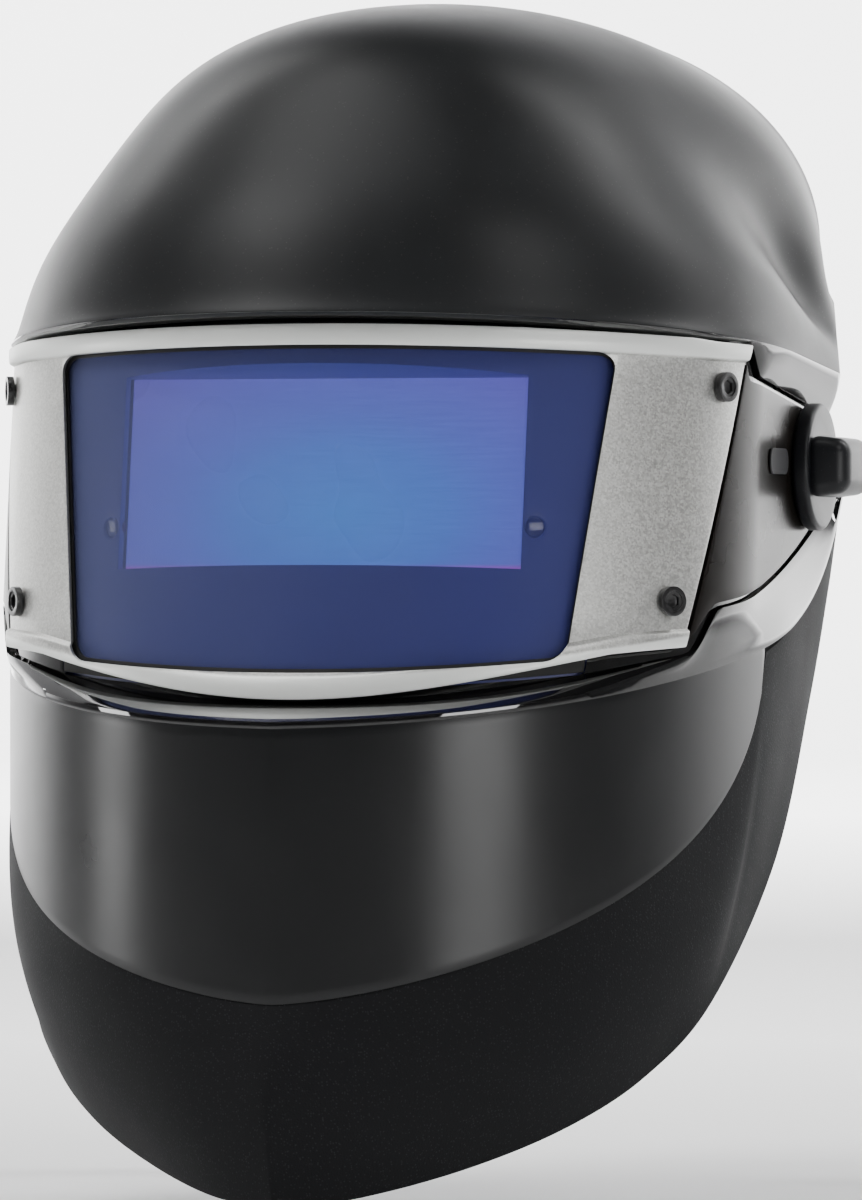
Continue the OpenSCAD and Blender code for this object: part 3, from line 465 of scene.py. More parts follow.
def refined(node: str, width: float) -> Piece:
    """Start a piece from a merged copy of one of the frame's nodes, with rounded edges."""
    bm = bmesh.new()
    bm.from_mesh(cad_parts[node].data)
    bmesh.ops.remove_doubles(bm, verts=bm.verts, dist=2e-6)
    bmesh.ops.dissolve_limit(bm, angle_limit=math.radians(0.6), verts=bm.verts, edges=bm.edges)
    bm.transform(Matrix.Scale(1 / MM, 4))
    piece = Piece(node + "_detail", bm)
    if width:
        piece.edges(width, 30, 2)
    return piece


# ---- Finishes ----

Color = tuple[float, float, float]


class Graph:
    """A node tree that is being wired up."""

    def __init__(self, tree: bpy.types.NodeTree) -> None:
        """Work on a tree."""
        self.tree = tree

    def add(self, kind: str, inputs: dict | None = None, **settings: object) -> bpy.types.Node:
        """Add a node.

        Args:
            kind: the node's type name.
            inputs: a value or an output socket for each input, by name or place.
            settings: the node's own properties.

        Returns:
            The node.
        """
        node = self.tree.nodes.new(kind)
        for key, value in settings.items():
            setattr(node, key, value)
        for key, value in (inputs or {}).items():
            socket = node.inputs[key]
            if isinstance(value, bpy.types.NodeSocket):
                self.tree.links.new(value, socket)
            else:
                socket.default_value = value
        return node

    def math(self, kind: str, a: object, b: object = 0.0) -> bpy.types.NodeSocket:
        """Return the result of a sum, product or other calculation."""
        return self.add("ShaderNodeMath", {0: a, 1: b}, operation=kind).outputs[0]

    def ramp(self, value: object, low: float, high: float, start: float = 0.0,
             end: float = 1.0) -> bpy.types.NodeSocket:
        """Return a value moved from the range low to high to the range start to end."""
        return self.add("ShaderNodeMapRange", {"Value": value, "From Min": low, "From Max": high,
                                               "To Min": start, "To Max": end}).outputs[0]

    def blend(self, share: object, a: object, b: object) -> bpy.types.NodeSocket:
        """Return a colour between two, by a share."""
        node = self.add("ShaderNodeMix", data_type="RGBA")
        for socket, value in ((node.inputs[0], share), (node.inputs[6], a), (node.inputs[7], b)):
            if isinstance(value, bpy.types.NodeSocket):
                self.tree.links.new(value, socket)
            else:
                socket.default_value = value if isinstance(value, float) else (*value, 1.0)
        return node.outputs[2]

    def noise(self, vector: object, scale: object, detail: float = 3.0) -> bpy.types.NodeSocket:
        """Return a noise value."""
        return self.add("ShaderNodeTexNoise", {"Vector": vector, "Scale": scale, "Detail": detail,
                                               "Roughness": 0.55}).outputs[0]


class Effects:
    """Node groups for effects that several finishes share, built once each."""

    def __init__(self) -> None:
        """Build the groups."""
        self.grain = self._grain()
        self.marks = self._marks()
        self.specks = self._specks()
        self.flake = self._flake()
        self.knit = self._knit()

    @staticmethod
    def _start(name: str, inputs: dict[str, float], outputs: Sequence[str]) -> Graph:
        """Start a group with a Vector input, named numbers and named results."""
        tree = bpy.data.node_groups.new(name, "ShaderNodeTree")
        tree.interface.new_socket("Vector", in_out="INPUT", socket_type="NodeSocketVector")
        for key, value in inputs.items():
            socket = tree.interface.new_socket(key, in_out="INPUT", socket_type="NodeSocketFloat")
            socket.default_value = value
        for key in outputs:
            tree.interface.new_socket(key, in_out="OUTPUT", socket_type="NodeSocketFloat")
        return Graph(tree)

    def _grain(self) -> bpy.types.NodeTree:
        """Fine moulded texture, with a slow variation over the piece."""
        g = self._start("MouldedGrain", {"Size": 0.5, "Patch": 40.0}, ("Height", "Mottle"))
        source = g.add("NodeGroupInput").outputs
        fine = g.noise(source["Vector"], g.math("DIVIDE", 1000.0, source["Size"]), 2.0)
        slow = g.noise(source["Vector"], g.math("DIVIDE", 1000.0, source["Patch"]), 4.0)
        g.add("NodeGroupOutput", {"Height": fine, "Mottle": g.ramp(slow, 0.3, 0.7)})
        return g.tree

    def _marks(self) -> bpy.types.NodeTree:
        """Faint hairline scratches, more in some places than in others."""
        g = self._start("HandlingMarks", {"Length": 14.0, "Amount": 0.5}, ("Mask",))
        source = g.add("NodeGroupInput").outputs
        scale = g.math("DIVIDE", 1000.0, source["Length"])
        lines = []
        for turn, stretch in (((0.3, 0.9, 0.4), (1, 26, 7)), ((1.2, 0.2, 1.9), (19, 1, 9))):
            moved = g.add("ShaderNodeMapping", {"Vector": source["Vector"], "Rotation": turn,
                                                "Scale": stretch}).outputs[0]
            lines.append(g.ramp(g.noise(moved, scale, 5.0), 0.67, 0.74))
        where = g.ramp(g.noise(source["Vector"], 24.0, 2.0), 0.45, 0.7)
        both = g.math("MULTIPLY", g.math("MAXIMUM", lines[0], lines[1]), where)
        g.add("NodeGroupOutput", {"Mask": g.math("MULTIPLY", both, source["Amount"])})
        return g.tree

    def _specks(self) -> bpy.types.NodeTree:
        """Fine pale specks and pits."""
        g = self._start("Specks", {"Size": 0.5, "Share": 0.35}, ("Mask", "Height"))
        source = g.add("NodeGroupInput").outputs
        cells = g.add("ShaderNodeTexVoronoi", {
            "Vector": source["Vector"], "Scale": g.math("DIVIDE", 1000.0, source["Size"])})
        shade = g.add("ShaderNodeSeparateColor", {0: cells.outputs["Color"]}).outputs[0]
        pick = g.math("LESS_THAN", shade, source["Share"])
        near = g.ramp(cells.outputs["Distance"], 0.15, 0.45, 1.0, 0.0)
        g.add("NodeGroupOutput", {"Mask": g.math("MULTIPLY", pick, near), "Height": near})
        return g.tree

    def _flake(self) -> bpy.types.NodeTree:
        """Metal flakes: a tint and a small tilt for each flake."""
        g = self._start("MetalFlake", {"Size": 0.35}, ("Tint", "Height"))
        source = g.add("NodeGroupInput").outputs
        scale = g.math("DIVIDE", 1000.0, source["Size"])
        cells = g.add("ShaderNodeTexVoronoi", {"Vector": source["Vector"], "Scale": scale})
        parts = g.add("ShaderNodeSeparateColor", {0: cells.outputs["Color"]}).outputs
        cloud = g.noise(source["Vector"], g.math("MULTIPLY", scale, 0.3), 2.0)
        tint = g.math("ADD", g.math("MULTIPLY", parts[0], 0.6), g.math("MULTIPLY", cloud, 0.4))
        g.add("NodeGroupOutput", {"Tint": tint, "Height": parts[1]})
        return g.tree

    def _knit(self) -> bpy.types.NodeTree:
        """Knitted cloth: crossed ribs with slight irregularity; its Shade darkens the grooves
        between the ribs as painted shade, mixed with random tone.
        """
        g = self._start("Knit", {"Pitch": 1.2}, ("Height", "Shade"))
        source = g.add("NodeGroupInput").outputs
        scale = g.math("DIVIDE", 160.0, source["Pitch"])
        ribs = []
        for way in ("X", "Z", "Y"):
            wave = g.add("ShaderNodeTexWave", {"Vector": source["Vector"], "Scale": scale,
                                               "Distortion": 1.2, "Detail": 1.0},
                         wave_type="BANDS", bands_direction=way)
            ribs.append(wave.outputs["Fac"])
        height = g.math("MULTIPLY", g.math("ADD", ribs[0], ribs[2]), ribs[1])
        cloud = g.noise(source["Vector"], 90.0, 4.0)
        # Painted shade: the ribs' height lightens their tops and darkens the grooves; the cloud
        # adds random tone.
        shade = g.math("ADD", g.math("MULTIPLY", height, 0.35), g.math("MULTIPLY", cloud, 0.5))
        g.add("NodeGroupOutput", {"Height": height, "Shade": shade})
        return g.tree


EFFECTS = Effects()


@dataclass(frozen=True)
class Finish:
    """What every finish has: its name and the record's slot."""

    name: str
    slot: str

    def start(self) -> tuple[bpy.types.Material, Graph, bpy.types.Node, bpy.types.NodeSocket]:
        """Return a new material with its graph, its shader and the object's coordinates."""
        material = bpy.data.materials.new(self.name)
        material.use_nodes = True
        graph = Graph(material.node_tree)
        shader = material.node_tree.nodes["Principled BSDF"]
        place = graph.add("ShaderNodeTexCoord").outputs["Object"]
        return material, graph, shader, place


def _group(graph: Graph, tree: bpy.types.NodeTree, place: bpy.types.NodeSocket,
           values: dict[str, float]) -> bpy.types.bpy_prop_collection:
    """Place a node group and return its outputs."""
    node = graph.tree.nodes.new("ShaderNodeGroup")
    node.node_tree = tree
    graph.tree.links.new(place, node.inputs["Vector"])
    for key, value in values.items():
        node.inputs[key].default_value = value
    return node.outputs


@dataclass(frozen=True)
class Moulded(Finish):
    """Moulded plastic or rubber: its colours, gloss, grain and marks."""

    dark: Color = (0.01, 0.01, 0.01)
    light: Color = (0.015, 0.015, 0.015)
    rough: tuple[float, float] = (0.4, 0.5)
    grain: float = 0.5
    depth: float = 0.02
    coat: float = 0.0
    speck: float = 0.0
    speck_tone: Color = (0.12, 0.12, 0.12)
    speck_size: float = 0.5
    marks: float = 0.15
    specular: float = 0.5
    sheen: float = 0.0

    def build(self) -> bpy.types.Material:
        """Build the material."""
        material, g, shader, place = self.start()
        grain = _group(g, EFFECTS.grain, place, {"Size": self.grain})
        marks = _group(g, EFFECTS.marks, place, {"Amount": self.marks})
        color = g.blend(grain["Mottle"], self.dark, self.light)
        height = grain["Height"]
        if self.speck:
            specks = _group(g, EFFECTS.specks, place,
                            {"Size": self.speck_size, "Share": self.speck})
            color = g.blend(specks["Mask"], color, self.speck_tone)
            height = g.math("ADD", height, g.math("MULTIPLY", specks["Height"], 0.6))
        low, high = self.rough
        rough = g.math("ADD", g.ramp(grain["Mottle"], 0.0, 1.0, low, high), marks["Mask"])
        bump = g.add("ShaderNodeBump", {"Height": height, "Strength": 0.6,
                                        "Distance": self.depth * MM})
        g.tree.links.new(color, shader.inputs["Base Color"])
        g.tree.links.new(rough, shader.inputs["Roughness"])
        g.tree.links.new(bump.outputs[0], shader.inputs["Normal"])
        shader.inputs["Coat Weight"].default_value = self.coat
        shader.inputs["Coat Roughness"].default_value = 0.04
        shader.inputs["Specular IOR Level"].default_value = self.specular
        if self.sheen:
            shader.inputs["Sheen Weight"].default_value = self.sheen
        return material


@dataclass(frozen=True)
class Metal(Finish):
    """Bare, plated or flake-painted metal, with an optional painted highlight along the front
    panel's lips.
    """

    dark: Color = (0.5, 0.5, 0.5)
    light: Color = (0.7, 0.7, 0.7)
    rough: tuple[float, float] = (0.25, 0.4)
    flake: float = 0.0
    metallic: float = 1.0
    coat: float = 0.0
    brushed: tuple[float, float, float] = (1.0, 18.0, 1.0)
    lip_highlight: Color | None = None
    top_bow: float = 0.000568
    bottom_bow: float = 0.0016
    lip_taper: float = 0.00022
    lip_highlight_metallic: float = 0.2

    def lip_highlight_mask(self, g: Graph, place: bpy.types.NodeSocket) -> bpy.types.NodeSocket:
        """Return a mask of the front panel's two raised lip bands, where a near-white painted
        highlight goes, from the curves of its long edges.
        """
        axes = g.add("ShaderNodeSeparateXYZ", {0: place}).outputs
        square = g.math("MULTIPLY", g.math("MULTIPLY", axes[0], axes[0]), 1000.0)
        high = g.math("ADD", axes[2], g.math("MULTIPLY", square, self.top_bow - self.lip_taper))
        low = g.math("SUBTRACT", axes[2],
                     g.math("MULTIPLY", square, self.bottom_bow - self.lip_taper))
        above, below = FORM.panel_top(0) * MM, FORM.panel_bottom(0) * MM
        top = g.ramp(high, above - 0.0053, above - 0.0047)
        bottom = g.ramp(low, below + 0.0055, below + 0.0049)
        return g.math("MAXIMUM", top, bottom)

    def build(self) -> bpy.types.Material:
        """Build the material."""
        material, g, shader, place = self.start()
        marks = _group(g, EFFECTS.marks, place, {"Amount": 0.2})
        if self.flake:
            flake = _group(g, EFFECTS.flake, place, {"Size": self.flake})
            tint, height, deep = flake["Tint"], flake["Height"], 0.006
        else:
            moved = g.add("ShaderNodeMapping", {"Vector": place, "Scale": self.brushed}).outputs[0]
            tint, deep = g.noise(moved, 260.0, 4.0), 0.008
            height = tint
        color, gloss = g.blend(tint, self.dark, self.light), g.ramp(tint, 0.2, 0.8, *self.rough)
        # Painted highlight: the panel's two lips get a near-white, less metallic colour that stands
        # in for the light they catch.
        if self.lip_highlight:
            lip = self.lip_highlight_mask(g, place)
            color = g.blend(lip, color, self.lip_highlight)
            metal = g.ramp(lip, 0.0, 1.0, self.metallic, self.lip_highlight_metallic)
            g.tree.links.new(metal, shader.inputs["Metallic"])
        else:
            shader.inputs["Metallic"].default_value = self.metallic
        g.tree.links.new(color, shader.inputs["Base Color"])
        rough = g.math("ADD", gloss, marks["Mask"])
        g.tree.links.new(rough, shader.inputs["Roughness"])
        bump = g.add("ShaderNodeBump", {"Height": height, "Strength": 0.5, "Distance": deep * MM})
        g.tree.links.new(bump.outputs[0], shader.inputs["Normal"])
        shader.inputs["Coat Weight"].default_value = self.coat
        shader.inputs["Coat Roughness"].default_value = 0.12
        return material


@dataclass(frozen=True)
class Cloth(Finish):
    """Knitted cover over foam."""

    dark: Color = (0.02, 0.02, 0.024)
    light: Color = (0.07, 0.07, 0.078)
    pitch: float = 1.3

    def build(self) -> bpy.types.Material:
        """Build the material."""
        material, g, shader, place = self.start()
        knit = _group(g, EFFECTS.knit, place, {"Pitch": self.pitch})
        grain = _group(g, EFFECTS.grain, place, {"Size": 0.25, "Patch": 12.0})
        # The knit's Shade paints the grooves darker as painted shade.
        color = g.blend(knit["Shade"], self.dark, self.light)
        g.tree.links.new(color, shader.inputs["Base Color"])
        height = g.math("ADD", knit["Height"], g.math("MULTIPLY", grain["Height"], 0.4))
        bump = g.add("ShaderNodeBump", {"Height": height, "Strength": 0.8, "Distance": 0.25 * MM})
        g.tree.links.new(bump.outputs[0], shader.inputs["Normal"])
        g.tree.links.new(g.ramp(grain["Mottle"], 0, 1, 0.8, 0.95), shader.inputs["Roughness"])
        shader.inputs["Sheen Weight"].default_value = 0.35
        shader.inputs["Sheen Roughness"].default_value = 0.5
        return material


@dataclass(frozen=True)
class TintedPane(Finish):
    """A clear plate with a tint, a faint haze, a painted sheen that lightens it towards -X, and
    gloss that grows towards its edges.
    """

    tone: Color = (0.060, 0.068, 0.25)
    haze_and_sheen: Color = (0.125, 0.140, 0.25)
    cover: tuple[float, float] = (0.34, 0.85)
    sheen_x: tuple[float, float] = (-0.067, 0.04)

    def build(self) -> bpy.types.Material:
        """Build the material."""
        material, g, shader, place = self.start()
        grain = _group(g, EFFECTS.grain, place, {"Size": 3.0, "Patch": 70.0})
        marks = _group(g, EFFECTS.marks, place, {"Amount": 0.12, "Length": 20.0})
        across = g.add("ShaderNodeSeparateXYZ", {0: place}).outputs
        # Painted sheen: the plate is made lighter towards -X, standing in for a reflection of the
        # studio light; the grain's mottle adds random haze.
        side = g.ramp(across[0], *self.sheen_x, 1.0, 0.0)
        share = g.math("ADD", g.math("MULTIPLY", side, 0.7),
                       g.math("MULTIPLY", grain["Mottle"], 0.15))
        g.tree.links.new(g.blend(share, self.tone, self.haze_and_sheen), shader.inputs["Base Color"])
        g.tree.links.new(g.math("ADD", 0.02, marks["Mask"]), shader.inputs["Roughness"])
        facing = g.add("ShaderNodeLayerWeight", {"Blend": 0.35}).outputs["Facing"]
        g.tree.links.new(g.ramp(facing, 0.0, 1.0, *self.cover), shader.inputs["Alpha"])
        shader.inputs["IOR"].default_value = 1.45
        shader.inputs["Specular IOR Level"].default_value = 0.3
        return material


@dataclass(frozen=True)
class CoatedGlass(Finish):
    """The filter's dark glass: violet at its edges, blue inside and brightest low in the middle;
    its colour is also emitted as a painted glow, though the glass is no lamp.
    """

    edge: Color = (0.165, 0.130, 0.64)
    middle: Color = (0.100, 0.190, 0.68)
    glow: Color = (0.070, 0.270, 0.76)
    fringe: Color = (0.42, 0.07, 0.60)
    half: tuple[float, float] = (0.0465, 0.0215)
    centre: tuple[float, float] = (0.004, -0.012)
    fringe_z: tuple[float, float] = (-0.0243, -0.0232)
    painted_glow_strength: float = 1.3

    def build(self) -> bpy.types.Material:
        """Build the material."""
        material, g, shader, place = self.start()
        axes = g.add("ShaderNodeSeparateXYZ", {0: place}).outputs
        x = g.math("DIVIDE", g.math("SUBTRACT", axes[0], self.centre[0]), self.half[0])
        z = g.math("DIVIDE", g.math("SUBTRACT", axes[2], self.centre[1]), self.half[1] * 1.35)
        cloud = g.noise(place, 30.0, 1.0)
        reach = g.math("SQRT", g.math("ADD", g.math("MULTIPLY", x, x), g.math("MULTIPLY", z, z)))
        reach = g.math("ADD", reach, g.math("MULTIPLY", g.math("SUBTRACT", cloud, 0.5), 0.03))
        inner = g.blend(g.ramp(reach, 0.0, 0.85), self.glow, self.middle)
        color = g.blend(g.ramp(reach, 0.55, 1.5), inner, self.edge)
        rim = g.ramp(axes[2], *self.fringe_z, 1.0, 0.0)
        color = g.blend(rim, color, self.fringe)
        moved = g.add("ShaderNodeMapping", {"Vector": place, "Scale": (3.0, 1.0, 60.0)}).outputs[0]
        streak = g.ramp(g.noise(moved, 30.0, 3.0), 0.3, 0.7, 0.93, 1.05)
        color = g.add("ShaderNodeVectorMath", {0: color, "Scale": streak},
                      operation="SCALE").outputs[0]
        g.tree.links.new(color, shader.inputs["Base Color"])
        # Painted light: the glass's colour is also fed to its emission, so it glows by itself
        # though it is no lamp.
        g.tree.links.new(color, shader.inputs["Emission Color"])
        shader.inputs["Emission Strength"].default_value = self.painted_glow_strength
        g.tree.links.new(g.ramp(cloud, 0.2, 0.8, 0.26, 0.30), shader.inputs["Roughness"])
        shader.inputs["Metallic"].default_value = 0.35
        shader.inputs["Coat Weight"].default_value = 0.4
        return material


class Finishes:
    """Every finish of the helmet, by its slot in the record."""

    def __init__(self) -> None:
        """Build them all."""
        kinds: list[Finish] = [
            Moulded("CrownSatinBlack", "crown_black", (0.006, 0.0065, 0.007), (0.009, 0.010, 0.011),
                    (0.36, 0.44), 0.35, 0.005, speck=0.05, speck_tone=(0.03, 0.03, 0.03),
                    speck_size=0.5, marks=0.05, specular=0.24),
            Moulded("RimPianoBlack", "piano_black", (0.002, 0.002, 0.0022), (0.004, 0.0035, 0.0035),
                    (0.03, 0.06), 4.0, 0.004, coat=0.6, marks=0.05),
            Moulded("SideCoverBlack", "side_black", (0.006, 0.005, 0.004), (0.010, 0.008, 0.007),
                    (0.24, 0.30), 0.6, 0.004, marks=0.05, specular=0.14),
            Moulded("ChinSemiGloss", "chin_black", (0.003, 0.0034, 0.0038),
                    (0.0055, 0.006, 0.0065), (0.27, 0.33), 0.4, 0.004, marks=0.06, specular=0.4),
            Moulded("SkirtGrained", "skirt_black", (0.004, 0.0042, 0.0048),
                    (0.0068, 0.007, 0.0078), (0.66, 0.78), 0.6, 0.06, speck=0.34,
                    speck_tone=(0.018, 0.018, 0.020),
                    speck_size=0.6, marks=0.06, specular=0.15),
            Moulded("BadgeGrey", "badge_grey", (0.030, 0.030, 0.032), (0.045, 0.045, 0.048),
                    (0.30, 0.40), 0.4, 0.01),
            # The front panel's lips carry a painted highlight.
            Metal("PanelSilverFlake", "silver_flake", (0.38, 0.38, 0.365), (0.66, 0.66, 0.635),
                  (0.34, 0.46), flake=0.42, metallic=0.75, coat=0.15,
                  lip_highlight=(0.86, 0.88, 0.85)),
            Moulded("ScrewBlackOxide", "black_screw", (0.006, 0.006, 0.007), (0.014, 0.013, 0.013),
                    (0.22, 0.36), 0.3, 0.008, coat=0.2),
            Metal("InsertBrass", "brass", (0.52, 0.36, 0.14), (0.78, 0.60, 0.30), (0.25, 0.4)),
            Moulded("GasketRubber", "gasket", (0.004, 0.004, 0.004), (0.008, 0.008, 0.008),
                    (0.6, 0.75), 0.6, 0.02),
            TintedPane("CoverLens", "cover_glass"),
            Moulded("BezelNavy", "bezel_blue", (0.075, 0.085, 0.31), (0.085, 0.095, 0.34),
                    (0.30, 0.36), 0.5, 0.0015, coat=0.1, marks=0.02),
            CoatedGlass("FilterGlass", "filter_glass"),
            Moulded("SensorGlass", "sensor_glass", (0.002, 0.002, 0.004), (0.004, 0.004, 0.008),
                    (0.05, 0.08), 3.0, 0.002, coat=0.8),
            Moulded("DiodeRed", "diode", (0.06, 0.01, 0.02), (0.10, 0.02, 0.04), (0.1, 0.2)),
            Moulded("HousingTextured", "housing_black", (0.012, 0.012, 0.013),
                    (0.02, 0.02, 0.021), (0.48, 0.60), 0.6, 0.05, speck=0.12, marks=0.12),
            Moulded("BoardSolderMask", "board_green", (0.008, 0.08, 0.03), (0.015, 0.13, 0.05),
                    (0.2, 0.35), 1.5, 0.02, coat=0.5),
            Metal("CellSteel", "cell_steel", (0.45, 0.46, 0.48), (0.70, 0.71, 0.73)),
            Moulded("IndicatorGreen", "led_green", (0.05, 0.35, 0.08), (0.09, 0.5, 0.13),
                    (0.12, 0.2), 2.0, 0.003, coat=0.6),
            Moulded("ButtonRed", "button_red", (0.30, 0.02, 0.015), (0.42, 0.04, 0.03),
                    (0.45, 0.6), 0.5, 0.03),
            Moulded("ButtonGrey", "button_grey", (0.10, 0.105, 0.11), (0.15, 0.155, 0.16),
                    (0.45, 0.6), 0.5, 0.03),
            TintedPane("InnerPlateClear", "clear_plate", (0.6, 0.64, 0.66), (0.7, 0.73, 0.75),
                       (0.08, 0.6)),
            Metal("SpringSteel", "spring_steel", (0.42, 0.43, 0.45), (0.66, 0.67, 0.69),
                  (0.2, 0.35)),
            Moulded("WasherWhite", "washer_white", (0.60, 0.59, 0.55), (0.74, 0.73, 0.69),
                    (0.35, 0.5), 0.8, 0.01),
            Moulded("CarrierBlack", "carrier_black", (0.014, 0.014, 0.015), (0.024, 0.024, 0.025),
                    (0.38, 0.5), 0.6, 0.03, marks=0.2),
            Metal("ZincPlate", "stud_zinc", (0.42, 0.43, 0.45), (0.64, 0.65, 0.66), (0.28, 0.42)),
            Moulded("KnobBlack", "knob_black", (0.005, 0.0055, 0.007), (0.009, 0.0095, 0.011),
                    (0.34, 0.44), 0.35, 0.012, speck=0.08, speck_tone=(0.025, 0.025, 0.03),
                    marks=0.12, specular=0.3),
            Moulded("BandNylon", "band_grey", (0.018, 0.018, 0.019), (0.030, 0.030, 0.031),
                    (0.40, 0.52), 0.5, 0.03, marks=0.2),
            Moulded("PegBlack", "peg_black", (0.008, 0.008, 0.008), (0.014, 0.014, 0.014),
                    (0.3, 0.4)),
            Cloth("PadKnit", "pad_fabric"),
        ]
        self.slots = {kind.slot: kind.build() for kind in kinds}

    def __getitem__(self, slot: str) -> bpy.types.Material:
        """Return the material of a slot."""
        return self.slots[slot]


FINISHES = Finishes()


def dress(node: str, slot: str) -> None:
    """Give one of the frame's own nodes its finish, its mesh unchanged."""
    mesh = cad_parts[node].data
    mesh.materials.clear()
    mesh.materials.append(FINISHES[slot])
    mesh.shade_smooth()
    mesh.set_sharp_from_angle(angle=math.radians(35))


def refine_all(body: str, width: float, slots: dict[str, str]) -> None:
    """Replace nodes with merged copies whose edges are rounded.

    Args:
        body: the body that they ride on.
        width: how far the edges are rounded, in millimetres.
        slots: each node's material slot.
    """
    for node, slot in slots.items():
        refined(node, width).finish(body, FINISHES[slot], slot, node, sharp=32)


# ---- Sub-assemblies ----

def visor_place(a: float, z: float, off: float) -> Matrix:
    """Return the place on the visor whose +Z is the outward direction."""
    return (Matrix.Translation(FORM.visor(a, z, off)) @ Matrix.Rotation(math.radians(a), 4, "Z")
            @ Matrix.Rotation(math.radians(90), 4, "X"))


def along_x(x: float, y: float = 0.0, z: float = 0.0) -> Matrix:
    """Return the place whose +Z points along +X."""
    return Matrix.Translation((x, y, z)) @ Matrix.Rotation(math.radians(90), 4, "Y")


@dataclass
class Window:
    """The window in the front panel and the curved sheets behind it."""

    top_w: float = 134.0
    bottom_w: float = 118.5
    top: float = 25.2
    bottom: float = 44.3
    top_bow: float = 1.8
    bottom_bow: float = 3.7

    def bow(self, x: float, z: float) -> float:
        """Return a height moved with the bow of the window's long edges."""
        share = 1 - (x / self.top_w * 2) ** 2
        return z + share * (self.top_bow * z / self.top if z > 0
                            else self.bottom_bow * z / self.bottom)

    def prism(self, grow: float, radius: float) -> bmesh.types.BMesh:
        """Return a prism through the window, grown by some millimetres."""
        slant = (self.top_w - self.bottom_w) / 2 / (self.top + self.bottom)
        tw = self.top_w / 2 + grow * (1 + slant)
        bw = self.bottom_w / 2 + grow * (1 - slant)
        corners = [(-bw, -self.bottom - grow), (bw, -self.bottom - grow),
                   (tw, self.top + grow), (-tw, self.top + grow)]
        bm = outline_prism(corners, radius, 100, self.bow)
        return placed(bm, Matrix.Translation((0, -110, 0)))

    def sheet(self, grow: float, near: float) -> bmesh.types.BMesh:
        """Return the curved sheet behind the window at a depth, grown by some millimetres."""
        def place(u: float, v: float) -> Point:
            z = mix(-self.bottom - grow, self.top + grow, v)
            x = u * (mix(self.bottom_w, self.top_w, v) / 2 + grow)
            r, h = FORM.visor_r - near, self.bow(x, z)
            return x, FORM.visor_y - math.sqrt(r * r - x * x) + FORM.lean * h, h
        return grid(72, 32, place)


WINDOW = Window()


